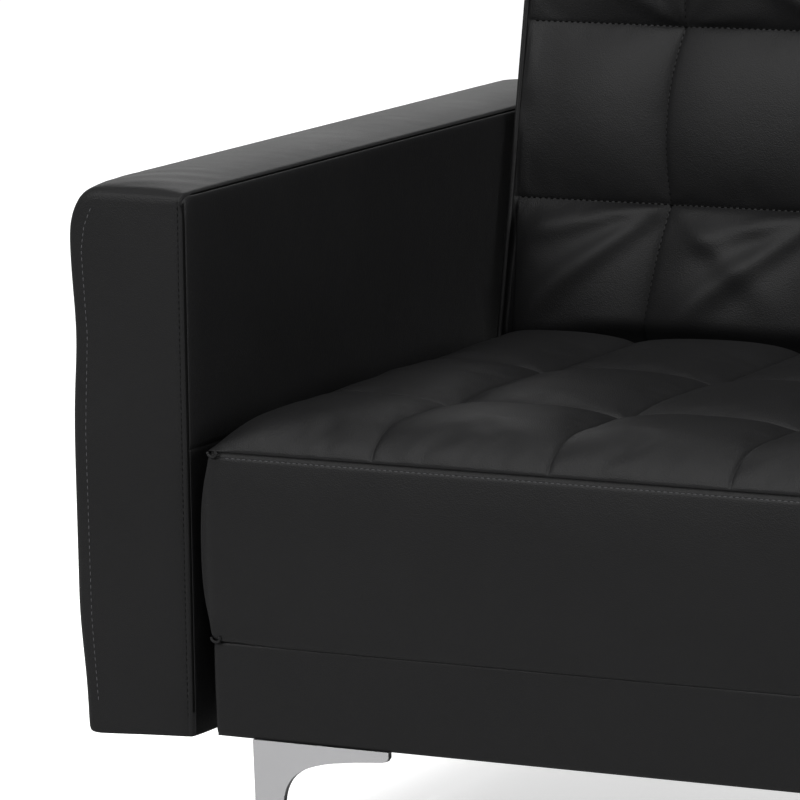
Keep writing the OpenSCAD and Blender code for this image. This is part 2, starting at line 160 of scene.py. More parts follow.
class SofaStageSettings(bpy.types.PropertyGroup):
    distance: FloatVectorProperty(
        name="Camera place", description="Place of the camera", subtype="TRANSLATION",
        default=(1.62565, -4.74790, 1.27771))
    turn: FloatProperty(
        name="Turn", description="Camera's turn to the left of straight ahead", subtype="ANGLE",
        default=math.radians(27.177))
    tilt: FloatProperty(
        name="Tilt", description="Camera's tilt below the horizon", subtype="ANGLE",
        default=math.radians(9.672))
    roll: FloatProperty(
        name="Roll", description="Camera's turn about its own axis", subtype="ANGLE",
        default=math.radians(-0.887))
    lens: FloatProperty(name="Lens", description="Focal length in millimetres", default=276.36, min=10)
    room_light: FloatProperty(
        name="Room light", description="Strength of the light from all round", default=0.50, min=0)
    key_light: FloatProperty(
        name="Key light", description="Power of the large light at the upper left front", default=270, min=0)
    overhead_light: FloatProperty(
        name="Overhead light", description="Power of the light above the seat", default=60, min=0)
    fill_light: FloatProperty(
        name="Fill light", description="Power of the light at the right", default=130, min=0)
    rim_light: FloatProperty(
        name="Rim light", description="Power of the light behind the left arm", default=17, min=0)
    floor_glow: FloatProperty(
        name="Floor glow", description="Strength of the floor's own glow", default=0.62, min=0)


SETTINGS = {
    "sofa_seat": SofaSeatSettings,
    "sofa_backrest": SofaBackrestSettings,
    "sofa_arm": SofaArmSettings,
    "sofa_finish": SofaFinishSettings,
    "sofa_stage": SofaStageSettings,
}


# ---------- shader maths ----------
class Wire:
    """A node's output that can be used in an expression with numbers and other outputs."""

    def __init__(self, graph, socket):
        self.graph = graph
        self.socket = socket

    def _math(self, operation, first, second):
        return self.graph.node("ShaderNodeMath", {"operation": operation}, {0: first, 1: second})

    def __add__(self, other):
        return self._math("ADD", self, other)

    def __radd__(self, other):
        return self._math("ADD", other, self)

    def __sub__(self, other):
        return self._math("SUBTRACT", self, other)

    def __rsub__(self, other):
        return self._math("SUBTRACT", other, self)

    def __mul__(self, other):
        return self._math("MULTIPLY", self, other)

    def __rmul__(self, other):
        return self._math("MULTIPLY", other, self)



class Graph:
    """A material's node tree, and the few ways in which this file adds to it."""

    def __init__(self, name):
        old = bpy.data.materials.get(name)
        if old:
            bpy.data.materials.remove(old)
        self.material = bpy.data.materials.new(name)
        self.material.use_nodes = True
        self.tree = self.material.node_tree
        self.tree.nodes.clear()
        self.place = self.node("ShaderNodeTexCoord", {}, {}, "Object")

    def node(self, kind, settings, inputs, output=0):
        """Adds a node, with its settings first and then its sockets' values or links."""
        new = self.tree.nodes.new(kind)
        for key, value in settings.items():
            if key == "stops":
                self._set_stops(new.color_ramp, value)
            else:
                setattr(new, key, value)
        for key, value in inputs.items():
            if isinstance(value, Wire):
                self.tree.links.new(value.socket, new.inputs[key])
            else:
                new.inputs[key].default_value = value
        return Wire(self, new.outputs[output])

    @staticmethod
    def _set_stops(ramp, stops):
        while len(ramp.elements) < len(stops):
            ramp.elements.new(0.5)
        for element, (position, level) in zip(ramp.elements, stops):
            element.position = position
            element.color = (level, level, level, 1)

    def noise(self, scale, detail=3.0, roughness=0.5, place=None):
        inputs = {"Vector": place or self.place, "Scale": scale, "Detail": detail, "Roughness": roughness}
        return self.node("ShaderNodeTexNoise", {}, inputs)

    def pebbles(self, scale, place=None):
        return self.node("ShaderNodeTexVoronoi", {"feature": "SMOOTH_F1"},
                         {"Vector": place or self.place, "Scale": scale, "Smoothness": 0.35}, "Distance")

    def stretched(self, x, y, z):
        return self.node("ShaderNodeMapping", {}, {"Vector": self.place, "Scale": (x, y, z)})

    def ramp(self, value, stops):
        return self.node("ShaderNodeValToRGB", {"stops": stops}, {"Fac": value})

    def mix(self, factor, first, second):
        return self.node("ShaderNodeMix", {"data_type": "RGBA"}, {0: factor, 6: first, 7: second}, 2)

    def bump(self, height, distance, strength=1.0, below=None):
        inputs = {"Height": height, "Distance": distance, "Strength": strength}
        if below:
            inputs["Normal"] = below
        return self.node("ShaderNodeBump", {}, inputs)

    def finish(self, inputs):
        """Closes the graph with the surface shader and returns the material."""
        shader = self.node("ShaderNodeBsdfPrincipled", {}, inputs)
        out = self.tree.nodes.new("ShaderNodeOutputMaterial")
        self.tree.links.new(shader.socket, out.inputs["Surface"])
        return self.material


def colour(rgb, factor=1.0):
    return (rgb[0] * factor, rgb[1] * factor, rgb[2] * factor, 1.0)


# ---------- materials ----------
def leather_material(name="sofa_leather"):
    """Charcoal faux leather: pebbled grain, faint mottling and a soft satin sheen."""
    found = bpy.data.materials.get(name)
    if found:
        return found
    finish = bpy.context.scene.sofa_finish
    g = Graph(name)
    pebble = g.pebbles(1 / finish.grain)
    fine = g.noise(2.6 / finish.grain, 2.0)
    cloudy = g.noise(7.0, 4.0, 0.6)
    pores = g.ramp(pebble, [(0.25, 1.0), (0.75, 0.0)])
    tone = g.ramp(cloudy, [(0.3, 0.0), (0.7, 1.0)])
    worn = g.mix(tone, colour(finish.leather, 0.90), colour(finish.leather, 1.10))
    base = g.mix(pores * 0.30, worn, colour(finish.leather, 0.62))
    rough = finish.leather_roughness + (cloudy - 0.5) * 0.12 + (fine - 0.5) * 0.10
    height = pores * -0.7 + fine * 0.45
    grain = g.bump(height, 0.00030, 0.55)
    soft = g.bump(g.noise(38.0, 3.0, 0.55), 0.0012, 0.30, grain)
    return g.finish({"Base Color": base, "Roughness": rough, "Normal": soft, "Specular IOR Level": 0.09})


def thread_material(name, rgb):
    """Twisted polyester thread."""
    found = bpy.data.materials.get(name)
    if found:
        return found
    g = Graph(name)
    twist = g.noise(2400.0, 2.0)
    base = g.mix(twist, colour(rgb, 0.8), colour(rgb, 1.2))
    return g.finish({"Base Color": base, "Roughness": 0.6 + (twist - 0.5) * 0.2,
                     "Normal": g.bump(twist, 0.0001, 0.5), "Specular IOR Level": 0.02})


def timber_material():
    """Planed softwood, with its grain along the longest rails."""
    g = Graph("sofa_timber")
    finish = bpy.context.scene.sofa_finish
    along = g.stretched(1.2, 14.0, 14.0)
    rings = g.noise(4.0, 6.0, 0.62, along)
    fibres = g.noise(60.0, 3.0, 0.5, along)
    knots = g.pebbles(2.2, g.stretched(1.0, 3.0, 3.0))
    bands = g.ramp(rings, [(0.38, 0.0), (0.50, 1.0), (0.62, 0.25)])
    base = g.mix(bands * 0.7, colour(finish.wood), colour(finish.wood, 0.68))
    base = g.mix(g.ramp(knots, [(0.02, 1.0), (0.09, 0.0)]) * 0.8, base, colour((0.16, 0.08, 0.035)))
    base = g.mix(fibres * 0.25, base, colour(finish.wood, 1.15))
    return g.finish({"Base Color": base, "Roughness": 0.58 + (fibres - 0.5) * 0.2,
                     "Normal": g.bump(rings * 0.4 + fibres, 0.0004, 0.5)})


def hardboard_material():
    """Pressed brown fibre board."""
    g = Graph("sofa_hardboard")
    chips = g.noise(240.0, 4.0, 0.7)
    base = g.mix(chips, colour((0.16, 0.09, 0.045)), colour((0.30, 0.18, 0.10)))
    return g.finish({"Base Color": base, "Roughness": 0.75 + (chips - 0.5) * 0.2,
                     "Normal": g.bump(chips, 0.0004, 0.6)})


def cloth_material(name, rgb, weave, roughness=0.92):
    """Plain cloth: fine crossed threads over a felted tone."""
    g = Graph(name)
    warp = g.noise(weave, 1.0, 0.5, g.stretched(1.0, 0.18, 0.18))
    weft = g.noise(weave, 1.0, 0.5, g.stretched(0.18, 1.0, 1.0))
    fluff = g.noise(weave * 0.12, 4.0, 0.65)
    base = g.mix(warp * weft * 1.6 + fluff * 0.3, colour(rgb, 0.65), colour(rgb, 1.25))
    return g.finish({"Base Color": base, "Roughness": roughness, "Normal": g.bump(warp + weft, 0.0005, 0.6),
                     "Sheen Weight": 0.15, "Specular IOR Level": 0.2})


def plated_leg_material():
    """Bright plating, slightly brushed along the blades and faintly smudged."""
    g = Graph("sofa_leg_plating")
    finish = bpy.context.scene.sofa_finish
    brushed = g.noise(900.0, 2.0, 0.5, g.stretched(0.06, 0.06, 1.0))
    smudge = g.noise(26.0, 4.0, 0.6)
    base = g.mix(smudge, colour(finish.leg, 0.94), colour(finish.leg, 1.06))
    rough = 0.20 + smudge * 0.10 + (brushed - 0.5) * 0.06
    return g.finish({"Base Color": base, "Metallic": 1.0, "Roughness": rough,
                     "Normal": g.bump(brushed, 0.00005, 0.25)})


def steel_material(name, rgb, roughness, spangle):
    """Plated or bare mild steel, with the crystals or scale of its finish."""
    g = Graph(name)
    crystals = g.node("ShaderNodeTexVoronoi", {"feature": "F1"},
                      {"Vector": g.place, "Scale": spangle}, "Color")
    level = g.node("ShaderNodeSeparateColor", {}, {"Color": crystals}, 0)
    scratches = g.noise(520.0, 3.0, 0.6, g.stretched(1.0, 0.08, 1.0))
    base = g.mix(level * 0.6 + scratches * 0.3, colour(rgb, 0.78), colour(rgb, 1.12))
    return g.finish({"Base Color": base, "Metallic": 1.0, "Roughness": roughness + (level - 0.5) * 0.14,
                     "Normal": g.bump(scratches, 0.00006, 0.4)})


def plastic_material(name, rgb):
    """Moulded plastic with a fine spark-eroded texture."""
    g = Graph(name)
    texture = g.noise(1500.0, 2.0)
    base = g.mix(g.noise(30.0), colour(rgb, 0.9), colour(rgb, 1.1))
    return g.finish({"Base Color": base, "Roughness": 0.5 + (texture - 0.5) * 0.2,
                     "Normal": g.bump(texture, 0.0001, 0.5)})


# ---------- mesh helpers ----------
def lines(stops, step, creases=()):
    """Positions from the first stop to the last, about step apart, with extra lines close to each stop."""
    out = []
    for low, high in zip(stops[:-1], stops[1:]):
        near = [c for c in creases if c < (high - low) / 3]
        inner_low = low + (near[-1] if near else 0)
        inner_high = high - (near[-1] if near else 0)
        count = max(1, round((inner_high - inner_low) / step))
        out += [low] + [low + c for c in near[:-1]]
        out += list(np.linspace(inner_low, inner_high, count + 1))
        out += [high - c for c in reversed(near[:-1])]
    out.append(stops[-1])
    return np.array(sorted(set(np.round(out, 7))))


class Shell:
    """The skin of a box on a lattice of lines along X, Y and Z, to be moulded into shape."""

    def __init__(self, xs, ys, zs):
        self.counts = (len(xs), len(ys), len(zs))
        codes, quads = [], []
        for axis in range(3):
            for end in (0, 1):
                codes_here = self._face(axis, end)
                start = sum(len(c) for c in codes)
                rows, columns = codes_here.shape
                codes.append(codes_here.ravel())
                corner = start + np.arange(rows - 1)[:, None] * columns + np.arange(columns - 1)[None, :]
                ring = np.stack([corner, corner + columns, corner + columns + 1, corner + 1], -1)
                ring = ring.reshape(-1, 4)
                quads.append(ring[:, ::-1] if end == 0 else ring)
        unique, inverse = np.unique(np.concatenate(codes), return_inverse=True)
        self.quads = inverse.ravel()[np.concatenate(quads)]
        nx, ny, nz = self.counts
        self.i, self.j, self.k = unique // (ny * nz), unique // nz % ny, unique % nz
        self.points = np.stack([xs[self.i], ys[self.j], zs[self.k]], 1).astype(float)
        self.left, self.right = self.i == 0, self.i == nx - 1
        self.front, self.rear = self.j == 0, self.j == ny - 1
        self.bottom, self.top = self.k == 0, self.k == nz - 1

    def _face(self, axis, end):
        _, ny, nz = self.counts
        across = [np.arange(n) for n in self.counts]
        across[axis] = np.array([end * (self.counts[axis] - 1)])
        i, j, k = np.meshgrid(*across, indexing="ij")
        codes = np.squeeze((i * ny + j) * nz + k, axis)
        return codes.T if axis == 1 else codes

    def object(self, name, material):
        mesh = bpy.data.meshes.new(name)
        mesh.from_pydata([tuple(p) for p in self.points], [], [tuple(q) for q in self.quads.tolist()])
        return finished(name, mesh, material)


def finished(name, mesh, material):
    """Links a mesh as a smooth-shaded object with one material."""
    mesh.materials.append(material)
    mesh.polygons.foreach_set("use_smooth", [True] * len(mesh.polygons))
    mesh.update()
    thing = bpy.data.objects.new(name, mesh)
    bpy.context.scene.collection.objects.link(thing)
    return thing


def smooth_step(t):
    t = np.clip(t, 0, 1)
    return t * t * (3 - 2 * t)


def quarter(t):
    """Rises from 0 to 1 along a quarter circle."""
    t = np.clip(t, 0, 1)
    return np.sqrt(1 - (1 - t) ** 2)


def swell(t, power=2.4):
    """0 at both ends of 0..1, 1 in the middle, steep beside the ends."""
    return 1 - np.abs(2 * np.clip(t, 0, 1) - 1) ** power


def share(values, stops):
    """For each value, how far it is across its own bay between two stops, and which bay it is."""
    bay = np.clip(np.searchsorted(stops, values, side="right") - 1, 0, len(stops) - 2)
    low, high = np.asarray(stops)[bay], np.asarray(stops)[bay + 1]
    return (values - low) / (high - low), bay


def scatter(*keys):
    """A repeatable number from -1 to 1 for each set of whole numbers."""
    stride, spread = (12.9898, 78.233, 37.719), 43758.5453
    mixed = np.sin(sum(np.asarray(k, float) * s for k, s in zip(keys, stride))) * spread
    return 2 * (mixed - np.floor(mixed)) - 1


def inflate(thing, held, pressure, slack, cap, frames=20):
    """Swells a padded mesh as cloth, with the held vertices sewn down, and moves none further than cap."""
    mesh = thing.data
    before = np.zeros(len(mesh.vertices) * 3)
    mesh.vertices.foreach_get("co", before)
    group = thing.vertex_groups.new(name="sewn")
    for weight in np.unique(np.round(held[held > 0], 2)):
        group.add(np.nonzero(np.round(held, 2) == weight)[0].tolist(), float(weight), "REPLACE")
    cloth = thing.modifiers.new("padding", "CLOTH")
    cloth.settings.quality = 4
    cloth.settings.mass = 0.25
    cloth.settings.vertex_group_mass = "sewn"
    cloth.settings.use_pressure = True
    cloth.settings.uniform_pressure_force = pressure
    cloth.settings.shrink_min = -slack
    cloth.settings.tension_stiffness = 20
    cloth.settings.compression_stiffness = 20
    cloth.settings.shear_stiffness = 8
    cloth.settings.bending_stiffness = 1.2
    cloth.settings.air_damping = 3
    cloth.settings.effector_weights.gravity = 0
    cloth.collision_settings.use_collision = False
    cloth.point_cache.frame_end = frames
    for number in range(1, frames + 1):
        bpy.context.scene.frame_set(number)
    swollen = thing.evaluated_get(bpy.context.evaluated_depsgraph_get())
    after = np.zeros(len(mesh.vertices) * 3)
    swollen.data.vertices.foreach_get("co", after)
    move = (after - before).reshape(-1, 3)
    far = np.linalg.norm(move, axis=1, keepdims=True)
    move *= np.minimum(1, cap / np.maximum(far, 1e-9))
    thing.modifiers.remove(cloth)
    bpy.context.scene.frame_set(1)
    mesh.vertices.foreach_set("co", before + move.ravel())
    mesh.update()


def subdivide(thing, levels=1):
    """Applies Catmull-Clark smoothing to the mesh."""
    thing.modifiers.new("smooth", "SUBSURF").levels = levels
    new = bpy.data.meshes.new_from_object(thing.evaluated_get(bpy.context.evaluated_depsgraph_get()))
    thing.modifiers.clear()
    thing.vertex_groups.clear()
    old = thing.data
    new.name = old.name
    thing.data = new
    bpy.data.meshes.remove(old)
    thing.data.polygons.foreach_set("use_smooth", [True] * len(thing.data.polygons))


def surface_of(thing):
    mesh = thing.data
    return BVHTree.FromPolygons([v.co for v in mesh.vertices], [p.vertices for p in mesh.polygons])


def laid_on(tree, path, facing, spacing):
    """Points about spacing apart along a path, dropped on a surface against facing, with their normals."""
    path = [Vector(p) for p in path]
    facing = Vector(facing).normalized()
    places, normals = [], []
    for a, b in zip(path[:-1], path[1:]):
        count = max(1, round((b - a).length / spacing))
        for n in range(count):
            point = a.lerp(b, n / count)
            hit, normal, _, _ = tree.ray_cast(point + facing * 0.08, -facing, 0.16)
            if hit:
                places.append(hit)
                normals.append(normal if normal.dot(facing) > 0 else -normal)
    return places, normals


def stitches(name, rows, material, length=0.0040, radius=0.00042, lift=0.0001):
    """Rows of raised stitches as one mesh. A row is (places, normals), one place for each stitch."""
    around, along = 6, 4
    theta = np.arange(around) * 2 * math.pi / around
    stations = np.linspace(-1, 1, along)
    points, faces = [], []
    for places, normals in rows:
        for n in range(len(places) - 1):
            middle = (places[n] + places[n + 1]) / 2
            run = (places[n + 1] - places[n]).normalized()
            up = (normals[n] + normals[n + 1]).normalized()
            side = run.cross(up).normalized()
            start = len(points)
            for s in stations:
                thin = radius * (0.45 + 0.55 * math.sqrt(max(0.0, 1 - s * s)))
                sag = lift - radius * 0.9 * s * s
                centre = middle + run * (s * length / 2) + up * sag
                points += [centre + side * (thin * math.cos(t)) + up * (thin * math.sin(t)) for t in theta]
            for a in range(along - 1):
                for b in range(around):
                    c = (b + 1) % around
                    faces.append((start + a * around + b, start + a * around + c,
                                  start + (a + 1) * around + c, start + (a + 1) * around + b))
            faces.append(tuple(start + b for b in reversed(range(around))))
            faces.append(tuple(start + (along - 1) * around + b for b in range(around)))
    mesh = bpy.data.meshes.new(name)
    mesh.from_pydata(points, [], faces)
    return finished(name, mesh, material)


def tube(name, path, radius, material, closed=False, sides=10):
    """A round cord of leather or wire along a path."""
    path = [Vector(p) for p in path]
    count = len(path)
    points, faces = [], []
    previous = None
    for n, here in enumerate(path):
        after = path[(n + 1) % count] if closed or n + 1 < count else here
        before = path[n - 1] if closed or n > 0 else here
        run = (after - before).normalized()
        if previous is None:
            previous = run.orthogonal().normalized()
        side = (previous - run * previous.dot(run)).normalized()
        previous = side
        up = run.cross(side)
        for s in range(sides):
            angle = 2 * math.pi * s / sides
            points.append(here + side * (radius * math.cos(angle)) + up * (radius * math.sin(angle)))
    for n in range(count if closed else count - 1):
        for s in range(sides):
            a, b = n * sides + s, n * sides + (s + 1) % sides
            c, d = ((n + 1) % count) * sides + (s + 1) % sides, ((n + 1) % count) * sides + s
            faces.append((a, b, c, d))
    if not closed:
        faces.append(tuple(reversed(range(sides))))
        faces.append(tuple((count - 1) * sides + s for s in range(sides)))
    mesh = bpy.data.meshes.new(name)
    mesh.from_pydata(points, [], faces)
    return finished(name, mesh, material)


def eased_copy(node, name, material, width):
    """A copy of a CAD node with its sharp edges eased."""
    work = bmesh.new()
    work.from_mesh(frame["nodes"][node].data)
    bmesh.ops.remove_doubles(work, verts=work.verts, dist=0.00001)
    bmesh.ops.dissolve_limit(work, angle_limit=math.radians(2), verts=work.verts, edges=work.edges)
    sharp = [e for e in work.edges if len(e.link_faces) == 2 and e.calc_face_angle() > math.radians(35)]
    bmesh.ops.bevel(work, geom=sharp, offset=width, offset_type="OFFSET", segments=3, profile=0.5,
                    affect="EDGES", clamp_overlap=True)
    bmesh.ops.triangulate(work, faces=[f for f in work.faces if len(f.verts) > 4])
    mesh = bpy.data.meshes.new(name)
    work.to_mesh(mesh)
    work.free()
    thing = finished(name, mesh, material)
    normals = thing.modifiers.new("even shading", "WEIGHTED_NORMAL")
    normals.keep_sharp = True
    return thing


def give(node, material):
    """Gives a CAD node a material."""
    slots = frame["nodes"][node].material_slots
    if slots:
        for slot in slots:
            slot.material = material
    else:
        frame["nodes"][node].data.materials.append(material)


def settle(piece, body, replaced=()):
    """Hangs a piece on its body and hides the nodes that it stands for."""
    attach(piece, body)
    if replaced:
        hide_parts(*replaced)
    return piece


# ---------- seat ----------
def tuft_seams(columns, pitch, half_width):
    """The seams across a tufted panel, from one side edge to the other."""
    inner = [(n - columns / 2) * pitch for n in range(1, columns)]
    return [-half_width] + inner + [half_width]


def node_wrinkles(x, y, seams_x, seams_y, size, depth, seed):
    """Short pleats that fan out from each tuft node."""
    total = np.zeros_like(x)
    for a, node_x in enumerate(seams_x[1:-1]):
        for b, node_y in enumerate(seams_y[1:-1]):
            dx, dy = x - node_x, y - node_y
            reach = np.hypot(dx, dy)
            angle = np.arctan2(dy, dx)
            pleats = 7 + 2 * round(float(scatter(a, b, seed)))
            phase = 3 * float(scatter(b, a, seed + 1))
            wave = np.cos(pleats * angle + phase) + 0.5 * np.cos((pleats + 4) * angle - 2 * phase)
            total += depth * wave * np.exp(-reach / size) * smooth_step(reach / (0.4 * size))
    return total


class SOFA_OT_seat_cushion(bpy.types.Operator):
    """Build the tufted seat cushion with its flat front seam and topstitching"""
    bl_idname = "sofa.seat_cushion"
    bl_label = "Seat cushion"

    def execute(self, context):
        seat = context.scene.sofa_seat
        half = SEAT_HIGH.x - 0.001
        front, rear = SEAT_LOW.y + 0.002, SEAT_HIGH.y - 0.004
        low = SEAT_LOW.z + 0.0015
        seams_x = tuft_seams(seat.columns, seat.pitch, half)
        arm_front = ARM_LOW.y
        seams_y = [front, arm_front + 0.145, arm_front + 0.327, rear]
        seam_lines = [0.0012, 0.0045, 0.010]
        xs = lines(seams_x, 0.0085, seam_lines)
        ys = lines(seams_y, 0.0085, seam_lines)
        band = [seat.seam_height - d for d in (0.0075, 0.0062, 0.0054, 0.0046, 0.0016, 0.0008)]
        zs = np.array(sorted(list(lines([low, seat.seam_height - 0.010], 0.009, [0.003, 0.008])) + band
                             + [seat.seam_height]))
        shell = Shell(xs, ys, zs)
        self.mould(shell, seat, half, (front, rear), low, seams_x, seams_y)
        cushion = shell.object("seat_cushion", leather_material())
        self.pad(cushion, shell, seams_x, seams_y)
        subdivide(cushion)
        settle(cushion, "base", ("seat_cover", "seat_foam"))
        self.sew(cushion, seat, half, front)
        return {"FINISHED"}

    def mould(self, shell, seat, half, ends, low, seams_x, seams_y):
        """Rounds the corners, crowns the tufts and bulges the sides between their seams."""
        p = shell.points
        x, y, z = p[:, 0].copy(), p[:, 1].copy(), p[:, 2].copy()
        front, rear = ends
        up = (z - low) / (seat.seam_height - low)
        pull = 0.0100 * (1 - swell(up, 2.6)) - 0.0065
        # tufted top
        tx, _ = share(x, seams_x)
        ty, row = share(y, seams_y)
        edge = quarter((half - np.abs(x)) / seat.roll)
        edge *= quarter((y - front) / seat.roll) * quarter((rear - y) / (seat.roll * 0.9))
        across, along = swell(tx, 3.0), swell(ty, 2.6)
        along *= np.where(row == 2, 0.35, 1) * smooth_step((half - np.abs(x)) / 0.12)
        across *= np.where(row == 2, 0.75, 1)
        crown = seat.crown * (0.60 * along + 0.72 * across - 0.28 * across * along)
        pleat = node_wrinkles(x, y, seams_x, seams_y, 0.016, 0.0007, 3)
        from_seam_x = np.minimum(tx, 1 - tx) * seat.pitch
        from_seam_y = np.minimum(ty, 1 - ty) * (seams_y[2] - seams_y[1])
        valley = pressed(from_seam_x, 0, 0.0011, 0.0020) * (np.abs(x) < half - 0.02)
        inside = (y > front + 0.02) * (y < rear - 0.02)
        valley = np.maximum(valley, pressed(from_seam_y, 0, 0.0012, 0.0026) * inside)
        puff = (crown + pleat) * smooth_step(edge * 1.1)
        height = seat.rise * edge + puff - valley * smooth_step(edge * 14)
        p[:, 2] += np.where(shell.top, height, 0)
        # sides drawn in at their top and bottom seams
        p[:, 0] *= 1 - pull / half
        middle_y = (front + rear) / 2
        p[:, 1] = middle_y + (p[:, 1] - middle_y) * (1 - 0.35 * pull / (rear - middle_y))
        soft = 0.0035 * swell(up, 2.2) * swell((x / half + 1) / 2, 9)
        p[:, 1] -= np.where(shell.front, soft, 0)
        relief = np.clip((SEAT_HIGH.z - 0.055 - z) / 0.02, 0, 1) * 0.008
        p[:, 1] -= np.where(y > rear - 0.02, relief, 0)
        self.round_corners(p, half, front, rear)
        # bottom edge rolled under
        under = np.clip((0.010 - (z - low)) / 0.010, 0, 1)
        inset = 0.0040 * (1 - np.sqrt(np.clip(1 - under ** 2, 0, 1)))
        p[:, 0] -= np.sign(x) * inset * (np.abs(x) > half - 0.02)
        p[:, 1] += inset * (y < front + 0.02) - inset * (y > rear - 0.02)
        lip = smooth_step((low + 0.012 - z) / 0.012) * smooth_step((front + 0.005 - y) / 0.005)
        p[:, 2] -= 0.0035 * lip * (0.5 + 0.5 * smooth_step((half + 0.004 - np.abs(x)) / 0.075))
        p[:, 1] -= 0.0040 * lip
        # seam lip, flat band and stitched groove along the front and sides
        below = seat.seam_height - z
        groove = pressed(below, 0.0014, 0.0007, 0.0026) + pressed(below, 0.0054, 0.0007, 0.0008)
        ridge = -pressed(below, 0, 0.0005, 0.0018)
        p[:, 1] += np.where(shell.front & (below < 0.02), groove + ridge, 0)
        p[:, 0] -= np.where((shell.left | shell.right) & (below < 0.02), np.sign(x) * (groove + ridge), 0)
        # puckers where the seams meet at the front corners
        for end in (-1, 1):
            for seam in (seat.seam_height, low):
                reach = np.hypot(x - end * half, z - seam)
                ripple = 0.0016 * np.cos(reach / 0.0045 + 1.0) * np.exp(-reach / 0.012)
                p[:, 1] += np.where(shell.front, ripple * smooth_step(reach / 0.004), 0)

    @staticmethod
    def round_corners(p, half, front, rear):
        """Rounds the four upright corners in plan."""
        radius = 0.006
        inner = np.stack([np.clip(p[:, 0], -half + radius, half - radius),
                          np.clip(p[:, 1], front + radius, rear - radius)], 1)
        out = p[:, :2] - inner
        both = (np.abs(out) > 1e-9).all(1)
        length = np.linalg.norm(out, axis=1)
        reach = np.maximum(np.abs(out).max(1), 1e-9)
        scale = np.where(both, reach / np.maximum(length, 1e-9), 1)
        p[:, :2] = inner + out * scale[:, None]

    def pad(self, cushion, shell, seams_x, seams_y):
        """Swells the tufts with their seams sewn down."""
        p = shell.points
        on_seam = np.isin(np.round(shell.points[:, 0], 4), np.round(seams_x, 4))
        tx, _ = share(p[:, 0], seams_x)
        ty, _ = share(p[:, 1], seams_y)
        near = np.minimum(np.minimum(tx, 1 - tx) * 0.16, np.minimum(ty, 1 - ty) * 0.17)
        held = np.where(shell.top, np.clip(1 - near / 0.006, 0, 1), 1.0)
        held = np.where(on_seam, 1.0, held)
        inflate(cushion, held, 1.6, 0.012, 0.006)

    def sew(self, cushion, seat, half, front):
        """Adds the topstitching below the front seam."""
        tree = surface_of(cushion)
        height = seat.seam_height - 0.0054
        path = [(-half + 0.018, front, height), (half - 0.018, front, height)]
        finish = bpy.context.scene.sofa_finish
        row = laid_on(tree, path, (0, -1, 0), 0.0052)
        thread = stitches("seat_topstitching", [row], thread_material("sofa_thread", finish.thread))
        settle(thread, "base")
        for side, sign in MIRRORED.items():
            for place, height in (("upper", seat.seam_height - 0.0015), ("lower", SEAT_LOW.z + 0.0030)):
                centre = Vector((sign * (half - 0.0085), front - 0.0006, height))
                bends = np.linspace(-0.2, 1.25 * math.pi, 12)
                reach = [0.0052 - 0.0022 * n / len(bends) for n in range(len(bends))]
                loop = [centre + Vector((sign * r * math.cos(a), -0.0014 * math.sin(a / 2),
                                         -r * 0.7 * math.sin(a)))
                        for r, a in zip(reach, bends)]
                gather = tube(f"seat_corner_gather_{side}_{place}", loop, 0.0013, leather_material(), sides=8)
                settle(gather, "base")


# ---------- backrest ----------
def from_hinge(points):
    """Turns points from the backrest's own frame, on its hinge, into the object's frame."""
    turn = np.array(Matrix.Rotation(-RECLINE, 3, "X"))
    return points @ turn.T + np.array(PIVOT)


def hinge_point(x, depth, along):
    return Vector(from_hinge(np.array([[x, depth, along]]))[0])


BACK_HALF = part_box("back_cover")[1].x
BACK_DEPTH = 0.070
BACK_DROP = 0.025
BACK_TOP = 0.485
POCKET_TOP = 0.045
POCKET_FRONT = 0.008
POCKET_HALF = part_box("back_side_stiles")[1].x
BACK_ROWS = [-BACK_DROP + 0.001, BACK_TOP - 0.320, BACK_TOP - 0.160, BACK_TOP - 0.001]


def lean(x, z):
    """How far a column seam wanders outwards: bowed in the middle row and slanting in the lowest one."""
    bow = 0.006 * np.sin(np.pi * np.clip((z - BACK_ROWS[1]) / (BACK_ROWS[2] - BACK_ROWS[1]), 0, 1))
    slant = 0.015 * np.clip((BACK_ROWS[1] - z) / 0.13, 0, 1)
    ends = smooth_step(np.abs(x) / 0.04) * smooth_step((BACK_HALF - np.abs(x)) / 0.08)
    return np.sign(x) * (bow + slant) * ends


